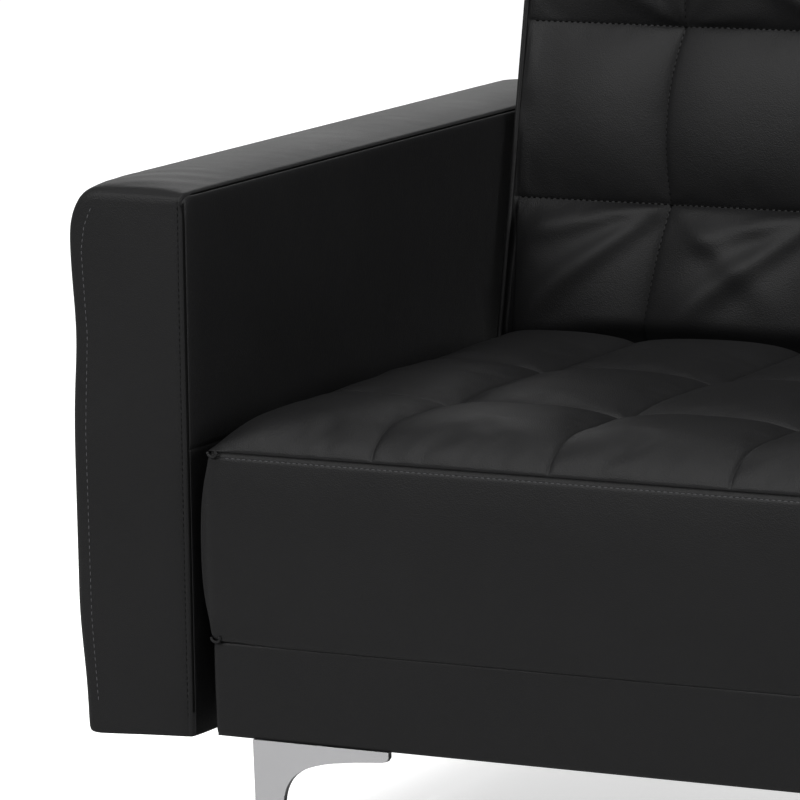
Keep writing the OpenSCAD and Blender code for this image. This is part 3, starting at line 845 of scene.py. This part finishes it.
class SOFA_OT_backrest_cushion(bpy.types.Operator):
    """Build the tufted backrest with its piped edge and stitched rows"""
    bl_idname = "sofa.backrest_cushion"
    bl_label = "Backrest cushion"

    def execute(self, context):
        back = context.scene.sofa_backrest
        seat = context.scene.sofa_seat
        half = BACK_HALF - 0.0012
        front, rear = -BACK_DEPTH, BACK_DEPTH - 0.0030
        seams_x = tuft_seams(seat.columns, seat.pitch, half)
        close = [0.0012, 0.0045, 0.010]
        beside_piping = [way * (half - inset) for way in (-1, 1)
                         for inset in (0.0067, 0.0088, 0.0128, 0.0155, 0.0182, 0.0209)]
        spread = [x for x in lines(seams_x, 0.0085, close) if not 0.0102 < half - abs(x) < 0.0225]
        xs = np.array(sorted(spread + beside_piping))
        ys = lines([front, rear], 0.012, [0.002, 0.006, 0.012])
        zs = lines(BACK_ROWS, 0.0085, close)
        shell = Shell(xs, ys, zs)
        self.mould(shell, back, half, seams_x)
        held = self.hold(shell, seams_x)
        shell.points[:, 0] += np.where(shell.front, lean(shell.points[:, 0], shell.points[:, 2]), 0)
        shell.points = from_hinge(shell.points)
        cushion = shell.object("backrest_cushion", leather_material())
        inflate(cushion, held, 1.4, 0.003, 0.004)
        subdivide(cushion)
        settle(cushion, "backrest", ("back_cover", "back_foam"))
        self.sew(cushion, seams_x)
        self.pipe(back, half)
        return {"FINISHED"}

    def mould(self, shell, back, half, seams_x):
        """Pulls the nodes in, rolls the rows out and leaves room for the hinges."""
        p = shell.points
        x, y, z = p[:, 0].copy(), p[:, 1].copy(), p[:, 2].copy()
        tx, _ = share(x, seams_x)
        tz, row = share(z, BACK_ROWS)
        rolled = np.where(row == 0, swell(tz, 2.6), swell(tz, 2.2))
        across = swell(tx, 3.0)
        side = smooth_step((half - np.abs(x)) / 0.10)
        ends = np.where((row == 0) & (tz < 0.5), smooth_step(tz * 4), 1)
        ends = np.where((row == 2) & (tz > 0.5), 1, ends)
        top_edge = smooth_step((BACK_TOP - z) / 0.03)
        seam_level = back.node_depth * (0.45 + 0.55 * (1 - across)) * side * top_edge
        fullness = np.where(row == 0, 0.85 + 0.15 * side, 0.35 + 0.65 * side)
        out = back.bulge * rolled * (0.80 + 0.20 * across) * fullness
        level = -seam_level + out - 0.004 * (1 - side)
        # lower row: drawn back beside the piping, with soft slanting folds
        lower = np.clip((BACK_ROWS[1] - z) / 0.12, 0, 1) * (row == 0)
        recess = 0.004 + 0.012 * lower
        level -= 0.013 * smooth_step(lower * 3) * (1 - smooth_step((half - np.abs(x) - recess) / 0.0035))
        # the foot of the lower row turns in above the seat
        turn_in = 0.039 + 0.017 * smooth_step((half - np.abs(x)) / 0.15)
        level -= 0.018 * smooth_step((turn_in - z) / 0.018)
        level += self.folds(x, BACK_ROWS[1] - z, seams_x, (0.24, 0.84, -0.12, -0.60), 5)
        level += 0.8 * self.folds(x, z - BACK_ROWS[2], seams_x, (0.55, 2.4, -0.15, -1.3), 11)
        level += node_wrinkles(x, z, seams_x, BACK_ROWS, 0.014, 0.0007, 7)
        level -= pressed(np.minimum(tx, 1 - tx) * 0.16, 0, 0.0011, 0.0011) * (np.abs(x) < half - 0.02)
        row_groove = pressed(np.minimum(tz, 1 - tz) * 0.16, 0, 0.0012, 0.0013)
        level -= row_groove * (z > BACK_ROWS[0] + 0.05) * top_edge
        fade = smooth_step((half - np.abs(x)) / 0.004) * smooth_step((z - BACK_ROWS[0]) / 0.02)
        fade *= smooth_step((BACK_TOP - z) / 0.004)
        p[:, 1] -= np.where(shell.front, level * fade, 0)
        # top edge and ends rounded
        self.round_edges(p, half)
        # sides drawn in beside the hinge
        narrow = smooth_step((np.where(y < -0.045, POCKET_FRONT, POCKET_TOP) + 0.008 - z) / 0.008)
        room = half - (POCKET_HALF - 0.0012)
        p[:, 0] -= np.sign(x) * narrow * room * smooth_step((np.abs(x) - half + 0.05) / 0.05)

    @staticmethod
    def folds(x, away, seams_x, slopes, seed):
        """Folds that fan out from each tuft node into a row: outwards for slopes above 0, else inwards."""
        total = np.zeros_like(x)
        for n, node_x in enumerate(seams_x[1:-1]):
            outwards = -1 if node_x < 0.01 else 1
            for m, lie in enumerate(slopes):
                way = outwards if lie > 0 else -outwards
                slope = abs(lie) * (1 + 0.10 * float(scatter(n, m, seed)))
                dx = (x - node_x) * way
                along = (dx + slope * away) / math.hypot(1, slope)
                off = (slope * dx - away) / math.hypot(1, slope)
                width = 0.0030 + 0.085 * np.clip(along, 0, 0.2)
                depth = (0.0074 if lie > 0 else 0.0028) * (1 + 0.25 * float(scatter(m, n, seed + 4)))
                ridge = np.exp(-(off / width) ** 2)
                ridge = ridge * smooth_step(along / 0.02) * smooth_step((0.158 - dx) / 0.05)
                total += depth * ridge * smooth_step(away / 0.006)
        return total

    @staticmethod
    def round_edges(p, half):
        """Rounds the edges of the closed cushion."""
        radius = 0.010
        low = np.array([-half, -BACK_DEPTH - 0.05, BACK_ROWS[0]]) + radius
        high = np.array([half, BACK_DEPTH - 0.003, BACK_ROWS[-1]]) - radius
        inner = np.clip(p, low, high)
        out = p - inner
        length = np.linalg.norm(out, axis=1)
        reach = np.maximum(np.abs(out).max(1), 1e-9)
        several = (np.abs(out) > 1e-7).sum(1) > 1
        scale = np.where(several, reach / np.maximum(length, 1e-9), 1)
        p[:] = inner + out * scale[:, None]

    @staticmethod
    def hold(shell, seams_x):
        """How firmly each vertex is sewn or stapled down, from 0 to 1."""
        p = shell.points
        tx, _ = share(p[:, 0], seams_x)
        tz, _ = share(p[:, 2], BACK_ROWS)
        upright = np.minimum(tx, 1 - tx) * 0.16
        level = np.minimum(tz, 1 - tz) * 0.16
        held = np.clip(1 - np.minimum(upright, level) / 0.006, 0, 1)
        low_end = p[:, 2] < 0.03
        return np.where(shell.front & ~low_end, held, 1.0)

    def sew(self, cushion, seams_x):
        """Adds the stitches along the rows and columns."""
        tree = surface_of(cushion)
        finish = bpy.context.scene.sofa_finish
        toward = hinge_point(0, -1, 0) - hinge_point(0, 0, 0)
        rows, columns = [], []
        edge = seams_x[-1] - 0.008
        for along in BACK_ROWS[1:-1]:
            path = [hinge_point(-edge, -BACK_DEPTH, along), hinge_point(edge, -BACK_DEPTH, along)]
            rows.append(laid_on(tree, path, toward, 0.0058))
        for x in seams_x[1:-1]:
            path = [hinge_point(x + float(lean(np.array([x]), np.array([z]))[0]), -BACK_DEPTH, z)
                    for z in np.linspace(0.03, BACK_TOP - 0.012, 40)]
            columns.append(laid_on(tree, path, toward, 0.0050))
        dark = thread_material("sofa_dark_thread", finish.dark_thread)
        settle(stitches("backrest_row_stitching", rows, dark, 0.0044, 0.00085, 0.0002), "backrest")
        settle(stitches("backrest_column_stitching", columns, dark, 0.0034, 0.00055, 0.0001), "backrest")

    def pipe(self, back, half):
        """Runs a piped edge up both sides and along the top."""
        bend, depth = 0.014, -BACK_DEPTH - 0.0002
        reach, top = half - 0.0012, BACK_TOP - 0.0022
        foot = POCKET_FRONT + 0.010
        path = [hinge_point(-reach, depth, s) for s in np.linspace(foot, top - bend, 36)]
        for a in np.linspace(0, math.pi / 2, 7)[1:]:
            path.append(hinge_point(-reach + bend * (1 - math.cos(a)), depth, top - bend * (1 - math.sin(a))))
        path += [hinge_point(x, depth, top) for x in np.linspace(-reach + bend, reach - bend, 80)[1:-1]]
        for a in np.linspace(math.pi / 2, 0, 7)[:-1]:
            path.append(hinge_point(reach - bend * (1 - math.cos(a)), depth, top - bend * (1 - math.sin(a))))
        path += [hinge_point(reach, depth, s) for s in np.linspace(top - bend, foot, 36)]
        settle(tube("backrest_piping", path, back.piping, leather_material()), "backrest")


class SOFA_OT_backrest_rear_panel(bpy.types.Operator):
    """Build the plain rear panel with its tacked hem"""
    bl_idname = "sofa.backrest_rear_panel"
    bl_label = "Backrest rear panel"

    def execute(self, context):
        half = BACK_HALF - 0.0015
        front, rear = BACK_DEPTH - 0.0045, BACK_DEPTH
        xs = lines([-half, half], 0.030, [0.0015, 0.004, 0.010, 0.016])
        ys = np.array([front, (front + rear) / 2, rear])
        zs = lines([BACK_ROWS[0] + 0.001, BACK_ROWS[-1] - 0.001], 0.020, [0.0015, 0.004, 0.010, 0.016])
        shell = Shell(xs, ys, zs)
        p = shell.points
        x, z = p[:, 0].copy(), p[:, 2].copy()
        from_edge = np.minimum(half - np.abs(x), np.minimum(z - zs[0], zs[-1] - z))
        slack = 0.0012 * np.sin(x * 9.0 + 1.3) * np.sin(z * 11.0 + 0.4)
        slack += 0.0007 * np.sin(x * 23.0 + z * 17.0)
        hem = 0.0016 * smooth_step(from_edge / 0.004) - 0.0012 * smooth_step((from_edge - 0.010) / 0.006)
        p[:, 1] += np.where(shell.rear, hem + slack * smooth_step((from_edge - 0.02) / 0.06) - 0.0012, 0)
        narrow = smooth_step((POCKET_TOP + 0.008 - z) / 0.008)
        room = half - POCKET_HALF + 0.001
        p[:, 0] -= np.sign(x) * narrow * room * smooth_step((np.abs(x) - half + 0.05) / 0.05)
        shell.points = from_hinge(p)
        panel = shell.object("backrest_rear_panel", leather_material())
        subdivide(panel)
        settle(panel, "backrest", ("back_rear_panel",))
        tree = surface_of(panel)
        away = hinge_point(0, 1, 0) - hinge_point(0, 0, 0)
        reach, low, high = half - 0.007, POCKET_TOP + 0.014, BACK_TOP - 0.009
        corners = [(-reach, low), (-reach, high), (reach, high), (reach, low)]
        row = laid_on(tree, [hinge_point(x, BACK_DEPTH, s) for x, s in corners], away, 0.0055)
        finish = context.scene.sofa_finish
        thread = stitches("rear_panel_topstitching", [row], thread_material("sofa_thread", finish.thread))
        settle(thread, "backrest")
        return {"FINISHED"}


# ---------- arms ----------
class SOFA_OT_arms(bpy.types.Operator):
    """Build both padded arms with their seam strips and topstitching"""
    bl_idname = "sofa.arms"
    bl_label = "Arms"

    def execute(self, context):
        for side in MIRRORED:
            self.arm(side, context.scene.sofa_arm)
        return {"FINISHED"}

    def arm(self, side, settings):
        width = ARM_HIGH.x - ARM_LOW.x
        length = ARM_HIGH.y - ARM_LOW.y
        height = ARM_HIGH.z - ARM_LOW.z
        strip = settings.strip
        xs = np.array(sorted([strip * f for f in (0.0, 0.10, 0.22, 0.5, 0.85, 1.0, 1.15)]
                             + list(lines([0.014, width], 0.008, [0.003, 0.008, 0.014]))))
        ys = lines([0.0, length], 0.010, [0.0008, 0.002, 0.004, 0.007, 0.011, 0.016])
        seam = settings.panel_seam - ARM_LOW.z
        close = [0.0009, 0.003, 0.006]
        zs = np.array(sorted(set(lines([0.0, seam], 0.010, close)) | set(lines([seam, height], 0.010, close))
                             | {height - d for d in (0.010, 0.015, 0.021, 0.028, 0.036)}))
        zs = zs[np.append(True, np.diff(zs) > 0.0005)]
        shell = Shell(xs, ys, zs)
        self.mould(shell, settings, (width, length, height))
        sign = MIRRORED[side]
        p = shell.points
        p[:, 0] = sign * (p[:, 0] + ARM_LOW.x)
        p[:, 1] += ARM_LOW.y
        p[:, 2] += ARM_LOW.z
        if sign < 0:
            shell.quads = shell.quads[:, ::-1]
        cover = shell.object("arm_cushion_" + side, leather_material())
        subdivide(cover)
        settle(cover, "base", ("arm_cover_" + side, "arm_padding_" + side))
        self.sew(side, cover, settings, (width, length, height))

    def mould(self, shell, settings, size):
        """Rounds the section, tapers it, rolls the ends and presses the seams in."""
        width, length, height = size
        p = shell.points
        x, y, z = p[:, 0].copy(), p[:, 1].copy(), p[:, 2].copy()
        # section: a tight inner top edge and a full, tall outer one
        outer = x > width / 2
        upper = z > height / 2
        round_x = np.where(upper, np.where(outer, settings.outer_round, settings.inner_round),
                           np.where(outer, 0.006, 0.004))
        round_z = round_x * np.where(upper & outer, settings.outer_stretch, 1)
        inner_x = np.clip(x, round_x, width - round_x)
        inner_z = np.clip(z, round_z, height - round_z)
        dx, dz = (x - inner_x) / round_x, (z - inner_z) / round_z
        far = np.maximum(np.hypot(dx, dz), 1e-9)
        on_corner = (np.abs(dx) > 1e-9) & (np.abs(dz) > 1e-9)
        scale = np.where(on_corner, np.maximum(np.abs(dx), np.abs(dz)) / far, 1)
        px, pz = inner_x + dx * scale * round_x, inner_z + dz * scale * round_z
        # outer side: full at the top, drawn in at the waist and the foot
        waist = settings.waist * np.exp(-((z - 0.73 * height) / (0.11 * height)) ** 2)
        foot = settings.taper * smooth_step(1 - z / (0.24 * height))
        foot = foot + 0.0015 * smooth_step(1 - z / (0.8 * height))
        px -= (waist + foot) * smooth_step((x - width / 3) / (width / 2))
        # inner panel: rolled in towards its seams at the front and the top
        ease = 0.0030 * (1 - quarter(y / 0.030)) + 0.0026 * (1 - quarter((height - z) / 0.018))
        px += (ease - 0.0030) * smooth_step((0.008 - x) / 0.008)
        # both ends rolled
        for distance, reach in ((y, 0.0075), (length - y, 0.0040)):
            inset = reach - np.sqrt(np.clip(reach ** 2 - np.clip(reach - distance, 0, reach) ** 2, 0, None))
            px -= inset * 0.75 * smooth_step((x - width / 2) / (width / 2))
            pz -= inset * smooth_step((z - height / 2) / (height / 2))
        # foot: hangs a little lower towards the outside
        pz -= (0.0050 + 0.0050 * x / width) * smooth_step(1 - z / (0.1 * height))
        # padding between the seams
        plump = swell(x / width, 3.0) * swell(z / height, 5.0)
        out = np.where(shell.front, -0.0035 * plump, 0) + np.where(shell.rear, 0.002 * plump, 0)
        sides = swell(y / length, 7.0) * swell(z / height, 5.0)
        px += np.where(shell.right, 0.0022 * sides, 0) + 0.0020 * smooth_step((x - width / 2) / (width / 2))
        crown = 0.0075 * swell(x / width, 2.4) * swell(np.minimum(y / length, 0.5), 24.0)
        crown *= smooth_step((length - y) / 0.008)
        pz += np.where(shell.top, crown, 0)
        # fine slanting ripples in the slack leather near the top's front
        ripple = np.sin((y * 1.0 + x * 0.55) / 0.0042 + 1.6 * np.sin(y / 0.021) + np.sin(x / 0.013))
        strength = np.exp(-((y - 0.05) / 0.07) ** 2) * 0.00045 + 0.00012
        pz += np.where(shell.top, ripple * strength * swell(x / width, 2.5) * smooth_step(y / 0.02), 0)
        # seam strip beside the inner edge, on the front and along the top
        seam = pressed(x, 0.0007, 0.0007, 0.0022) + pressed(x, settings.strip, 0.0006, 0.0010)
        out += np.where(shell.front, seam, 0)
        pz -= np.where(shell.top, pressed(x, 0.0009, 0.0010, 0.0024), 0)
        # front top seam, the outer panel's seam and the seam across the inner panel
        front_seam = pressed(y, 0.0046, 0.0009, 0.0016) * smooth_step((width - 0.030 - x) / 0.02)
        pz -= np.where(shell.top, front_seam, 0)
        out += np.where(shell.front, pressed(width - x, 0.0125, 0.0010, 0.0006), 0)
        px += np.where(shell.left, pressed(z, settings.panel_seam - ARM_LOW.z, 0.0010, 0.0012), 0)
        p[:, 0], p[:, 1], p[:, 2] = px, y + out, pz

    def sew(self, side, cover, settings, size):
        """Adds the rows of stitches on the front and top of an arm."""
        width, length, height = size
        tree = surface_of(cover)
        sign = MIRRORED[side]
        finish = bpy.context.scene.sofa_finish

        def at(x, y, z):
            return Vector((sign * (ARM_LOW.x + x), ARM_LOW.y + y, ARM_LOW.z + z))

        seam_places, _ = laid_on(tree, [at(0.0012, length - 0.012, height), at(0.0012, 0.008, height)],
                                 (-sign * 0.5, 0, 1), 0.010)
        front_places, _ = laid_on(tree, [at(0.0012, 0, height - 0.008), at(0.0012, 0, 0.006)],
                                  (0, -1, 0), 0.010)
        dark = thread_material("sofa_dark_thread", finish.dark_thread)
        seam = tube("arm_edge_seam_" + side, seam_places + front_places, 0.00105, dark, sides=6)
        settle(seam, "base")
        cross_places, _ = laid_on(tree, [at(0.0062, 0.0, height - 0.0005), at(0.066, 0.0, height - 0.0005)],
                                  (0, -0.25, 1), 0.005)
        cross_places = [place + Vector((0, 0.0025, 0)) for place in cross_places]
        cross = tube("arm_top_seam_" + side, cross_places, 0.0005, dark, sides=6)
        settle(cross, "base")
        strip = settings.strip
        dark_rows = [laid_on(tree, [at(strip, 0, height - 0.004), at(strip, 0, 0.006)], (0, -1, 0), 0.0052)]
        pale = width - 0.0125
        path = [at(pale - 0.010, 0, height - 0.014), at(pale - 0.003, 0, height - 0.030),
                at(pale, 0, height - 0.050), at(pale - settings.waist, 0, 0.73 * height),
                at(pale - 0.0005, 0, 0.55 * height), at(pale - 0.002, 0, 0.20 * height),
                at(pale - settings.taper, 0, 0.012)]
        pale_rows = [laid_on(tree, path, (0, -1, 0), 0.0056)]
        light = thread_material("sofa_thread", finish.thread)
        for name, rows, thread, radius in (("arm_seam_stitching_", dark_rows, dark, 0.00036),
                                           ("arm_topstitching_", pale_rows, light, 0.00040)):
            settle(stitches(name + side, rows, thread, 0.0040, radius), "base")


def pressed(distance, at, width, depth):
    """Depth of a sewn groove, for points at a distance from where it runs."""
    return depth * np.exp(-((distance - at) / width) ** 2)


# ---------- base ----------
class SOFA_OT_base_apron(bpy.types.Operator):
    """Build the leather wrapped round the base rails"""
    bl_idname = "sofa.base_apron"
    bl_label = "Base apron"

    def execute(self, context):
        low, high = BASE_LOW, BASE_HIGH
        wall = 0.0028
        xs_outer = (low.x + 0.0005, high.x - 0.0005)
        ys_outer = (low.y + 0.0005, high.y - 0.0005)
        outline = rounded_outline(xs_outer, ys_outer, 0.0060, 0.012)
        inner = rounded_outline((xs_outer[0] + wall, xs_outer[1] - wall),
                                (ys_outer[0] + wall, ys_outer[1] - wall), 0.0035, 0.012)
        levels = self.section(low.z, high.z, wall)
        rings = [self.ring(outline, inner, out, z) for out, z in levels]
        count = len(outline)
        points = [p for ring in rings for p in ring]
        faces = []
        for r in range(len(rings)):
            s = (r + 1) % len(rings)
            for n in range(count):
                m = (n + 1) % count
                faces.append((r * count + n, r * count + m, s * count + m, s * count + n))
        mesh = bpy.data.meshes.new("base_apron")
        mesh.from_pydata(points, [], faces)
        apron = finished("base_apron", mesh, leather_material())
        work = bmesh.new()
        work.from_mesh(mesh)
        bmesh.ops.recalc_face_normals(work, faces=work.faces)
        work.to_mesh(mesh)
        work.free()
        subdivide(apron)
        settle(apron, "base", ("base_cover",))
        return {"FINISHED"}

    @staticmethod
    def section(low, high, wall):
        """Section of the wrap, from outside over the rail and back: each line's place in wall thicknesses."""
        roll, flange = 0.006, 0.024
        outer = [(1 - 0.9 * (1 - math.sin(a)), low + roll * (1 - math.cos(a)))
                 for a in np.linspace(0.15, math.pi / 2, 5)]
        rise = [(1.0, z) for z in np.linspace(low + roll, high - 0.004, 9)[1:]]
        top = [(0.9, high - 0.0012), (0.5, high - 0.0002), (0.0, high)]
        top += [(-flange / wall, high), (-flange / wall, high - 0.0014), (0.0, high - 0.0014)]
        return outer + rise + top + [(0.0, high - 0.004), (0.0, low + 0.010), (0.0, low + 0.0005)]

    @staticmethod
    def ring(outline, inner, out, z):
        """One line round the base, with the shallow hollows of leather pulled over timber."""
        points = []
        for (x, y), (ix, iy) in zip(outline, inner):
            slack = 0.0006 * math.sin(x * 17 + z * 40) * math.sin(x * 5.3 + y * 3.1 + 1)
            nx, ny = (x - ix), (y - iy)
            size = math.hypot(nx, ny) or 1
            offset = slack * max(0.0, out)
            points.append((ix + nx * out + nx / size * offset, iy + ny * out + ny / size * offset, z))
        return points


def rounded_outline(xs, ys, radius, step):
    """A rectangle with round corners, as points about step apart."""
    points = []
    corners = [(xs[1], ys[0], -90), (xs[1], ys[1], 0), (xs[0], ys[1], 90), (xs[0], ys[0], 180)]
    for number, (cx, cy, start) in enumerate(corners):
        mx = cx - radius * (1 if cx > 0 else -1)
        my = cy - radius * (1 if cy == ys[1] else -1)
        turns = [math.radians(start + a) for a in np.linspace(0, 90, 7)]
        arc = [(mx + radius * math.cos(turn), my + radius * math.sin(turn)) for turn in turns]
        points += arc
        nx, ny, nstart = corners[(number + 1) % 4]
        mx2 = nx - radius * (1 if nx > 0 else -1)
        my2 = ny - radius * (1 if ny == ys[1] else -1)
        end = (mx2 + radius * math.cos(math.radians(nstart)), my2 + radius * math.sin(math.radians(nstart)))
        last = arc[-1]
        count = max(2, round(math.dist(last, end) / step))
        points += [(last[0] + (end[0] - last[0]) * n / count, last[1] + (end[1] - last[1]) * n / count)
                   for n in range(1, count)]
    return points


class SOFA_OT_underside(bpy.types.Operator):
    """Finish the dust cloth and staple it to the rails"""
    bl_idname = "sofa.underside"
    bl_label = "Underside"

    def execute(self, context):
        give("dust_cloth", cloth_material("sofa_dust_cloth", (0.018, 0.018, 0.019), 900.0))
        low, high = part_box("dust_cloth")
        inset, pitch = 0.012, 0.045
        rows = []
        corners = [(low.x + inset, low.y + inset), (high.x - inset, low.y + inset),
                   (high.x - inset, high.y - inset), (low.x + inset, high.y - inset)]
        for a, b in zip(corners, corners[1:] + corners[:1]):
            count = round(math.dist(a, b) / pitch)
            for n in range(1, count):
                x = a[0] + (b[0] - a[0]) * n / count
                y = a[1] + (b[1] - a[1]) * n / count
                run = Vector((b[0] - a[0], b[1] - a[1], 0)).normalized() * 0.006
                middle = Vector((x, y, low.z))
                down = Vector((0, 0, -1))
                rows.append(([middle - run, middle + run], [down, down]))
        wire = steel_material("sofa_staple_steel", (0.6, 0.6, 0.6), 0.3, 400.0)
        staples = stitches("dust_cloth_staples", rows, wire, 0.0105, 0.0005, 0.0002)
        settle(staples, "base")
        return {"FINISHED"}


# ---------- legs ----------
class SOFA_OT_legs(bpy.types.Operator):
    """Ease the edges of the corner legs and plate them"""
    bl_idname = "sofa.legs"
    bl_label = "Legs"

    def execute(self, context):
        plating = plated_leg_material()
        for end in ("front", "rear"):
            for side in MIRRORED:
                node = f"leg_{end}_{side}"
                leg = eased_copy(node, f"corner_leg_{end}_{side}", plating, 0.0011)
                settle(leg, "base", (node,))
        rubber = plastic_material("sofa_glide", (0.02, 0.02, 0.02))
        glides = eased_copy("leg_glides", "leg_floor_pads", rubber, 0.0006)
        settle(glides, "base", ("leg_glides",))
        return {"FINISHED"}


# ---------- frame and hardware ----------
class SOFA_OT_timber(bpy.types.Operator):
    """Finish the timber frames, boards, springs and hidden padding"""
    bl_idname = "sofa.timber"
    bl_label = "Timber and springs"

    def execute(self, context):
        timber = timber_material()
        visible = ["base_front_rail", "base_rear_rail", "base_side_rails", "base_spring_rail",
                   "base_centre_beam", "corner_blocks"]
        for node in visible:
            rail = eased_copy(node, node + "_timber", timber, 0.0012)
            settle(rail, "base", (node,))
        for node in frame["nodes"]:
            hidden = node.startswith(("arm_board", "arm_spacers")) or node in (
                "back_side_stiles", "back_mid_stiles", "back_top_rail", "back_bottom_rail")
            if hidden:
                give(node, timber)
        hardboard = hardboard_material()
        for side in MIRRORED:
            give("arm_hardboard_" + side, hardboard)
        spring = steel_material("sofa_spring_steel", (0.35, 0.35, 0.36), 0.35, 900.0)
        for node in ("seat_springs", "spring_clips", "pawl_springs"):
            give(node, spring)
        give("spring_felt", cloth_material("sofa_felt", (0.30, 0.30, 0.31), 500.0))
        give("back_webbing", cloth_material("sofa_webbing", (0.05, 0.05, 0.05), 700.0))
        return {"FINISHED"}


class SOFA_OT_hardware(bpy.types.Operator):
    """Finish the hinges, ratchets, bolts and screws"""
    bl_idname = "sofa.hardware"
    bl_label = "Hinges and fasteners"

    def execute(self, context):
        zinc = steel_material("sofa_zinc", (0.56, 0.57, 0.59), 0.30, 130.0)
        hard = steel_material("sofa_hardened", (0.24, 0.23, 0.21), 0.38, 300.0)
        eased = {"base": ("hinge_seat_plate_left", "hinge_seat_plate_right"),
                 "backrest": ("hinge_back_plate_left", "hinge_back_plate_right")}
        for body, nodes in eased.items():
            for node in nodes:
                settle(eased_copy(node, node + "_pressing", zinc, 0.0005), body, (node,))
        for node in ("hinge_rivet_left", "hinge_rivet_right", "pawl_pins", "hinge_seat_screws",
                     "hinge_back_screws", "leg_screws", "arm_bolts", "arm_tee_nuts"):
            give(node, zinc)
        for side in MIRRORED:
            give("ratchet_" + side, hard)
            give("pawl_" + side, hard)
        black = plastic_material("sofa_black_plastic", (0.02, 0.02, 0.02))
        give("arm_bushes", black)
        give("hinge_spacers", black)
        give("hinge_washers", plastic_material("sofa_nylon", (0.7, 0.7, 0.66)))
        return {"FINISHED"}


# ---------- stage ----------
class SOFA_OT_stage(bpy.types.Operator):
    """Set the floor, the studio light and the camera"""
    bl_idname = "sofa.stage"
    bl_label = "Stage"

    def execute(self, context):
        stage = context.scene.sofa_stage
        self.floor(stage.floor_glow)
        self.room(context.scene, stage)
        self.lamp("overhead_light", (-0.3, -0.6, 3.2), (0.0, 0.0, 0.3), 2.4, stage.overhead_light)
        self.lamp("fill_light", (3.2, -0.6, 1.7), (-0.8, 0.0, 0.45), 2.0, stage.fill_light)
        self.lamp("key_light", (-1.9, -3.5, 3.4), (0.0, 0.2, 0.6), 3.4, stage.key_light)
        self.lamp("rim_light", (-3.1, 4.4, 2.3), (-0.9, 0.0, 0.6), 2.0, stage.rim_light)
        context.scene.view_settings.view_transform = "Standard"
        camera = bpy.data.objects.new("camera", bpy.data.cameras.new("camera"))
        context.scene.collection.objects.link(camera)
        camera.data.lens = stage.lens
        camera.data.clip_end = 200
        aim = (Matrix.Rotation(stage.turn, 4, "Z") @ Matrix.Rotation(math.pi / 2 - stage.tilt, 4, "X")
               @ Matrix.Rotation(stage.roll, 4, "Z"))
        camera.matrix_world = Matrix.Translation(Vector(stage.distance)) @ aim
        context.scene.camera = camera
        return {"FINISHED"}

    @staticmethod
    def floor(glow):
        """A pale floor that looks brighter than the light that it throws back on to the sofa."""
        size = 120.0
        mesh = bpy.data.meshes.new("floor")
        corners = [(-size, -size, 0), (size, -size, 0), (size, size, 0), (-size, size, 0)]
        mesh.from_pydata(corners, [], [(0, 1, 2, 3)])
        g = Graph("studio_floor")
        tone = g.mix(g.noise(3.0), (0.76, 0.76, 0.76, 1), (0.78, 0.78, 0.78, 1))
        seen = g.node("ShaderNodeLightPath", {}, {}, "Is Camera Ray")
        shine = g.mix(seen, (0, 0, 0, 1), (1, 1, 1, 1))
        pale = g.finish({"Base Color": tone, "Roughness": 0.9, "Specular IOR Level": 0.1,
                         "Emission Color": shine, "Emission Strength": glow})
        finished("floor", mesh, pale)

    @staticmethod
    def room(scene, stage):
        world = bpy.data.worlds.new("studio")
        world.use_nodes = True
        world.node_tree.nodes["Background"].inputs["Color"].default_value = (1, 1, 1, 1)
        world.node_tree.nodes["Background"].inputs["Strength"].default_value = stage.room_light
        scene.world = world

    @staticmethod
    def lamp(name, place, aim, size, power):
        light = bpy.data.lights.new(name, "AREA")
        light.shape = "SQUARE"
        light.size = size
        light.energy = power
        lamp = bpy.data.objects.new(name, light)
        bpy.context.scene.collection.objects.link(lamp)
        lamp.location = place
        lamp.rotation_euler = (Vector(place) - Vector(aim)).to_track_quat("Z", "Y").to_euler()


# ---------- panel and registration ----------
STEPS = (
    SOFA_OT_stage,
    SOFA_OT_timber,
    SOFA_OT_hardware,
    SOFA_OT_legs,
    SOFA_OT_underside,
    SOFA_OT_base_apron,
    SOFA_OT_arms,
    SOFA_OT_seat_cushion,
    SOFA_OT_backrest_rear_panel,
    SOFA_OT_backrest_cushion,
)


class SOFA_PT_panel(bpy.types.Panel):
    """Sizes, colours and build steps of the sofa bed"""
    bl_label = "Sofa bed"
    bl_idname = "SOFA_PT_panel"
    bl_space_type = "VIEW_3D"
    bl_region_type = "UI"
    bl_category = "Sofa bed"

    def draw(self, context):
        for name, group in SETTINGS.items():
            box = self.layout.box()
            box.label(text=name.replace("_", " "))
            for field in group.__annotations__:
                box.prop(getattr(context.scene, name), field)
        for step in STEPS:
            self.layout.operator(step.bl_idname)


def register():
    for cls in (*SETTINGS.values(), *STEPS, SOFA_PT_panel):
        bpy.utils.register_class(cls)
    for name, group in SETTINGS.items():
        setattr(bpy.types.Scene, name, PointerProperty(type=group))


def unregister():
    for name in SETTINGS:
        delattr(bpy.types.Scene, name)
    for cls in reversed((*SETTINGS.values(), *STEPS, SOFA_PT_panel)):
        bpy.utils.unregister_class(cls)


def main():
    register()
    for step in STEPS:
        _, operator = step.bl_idname.split(".")
        getattr(bpy.ops.sofa, operator)()


if __name__ == "__main__":
    main()
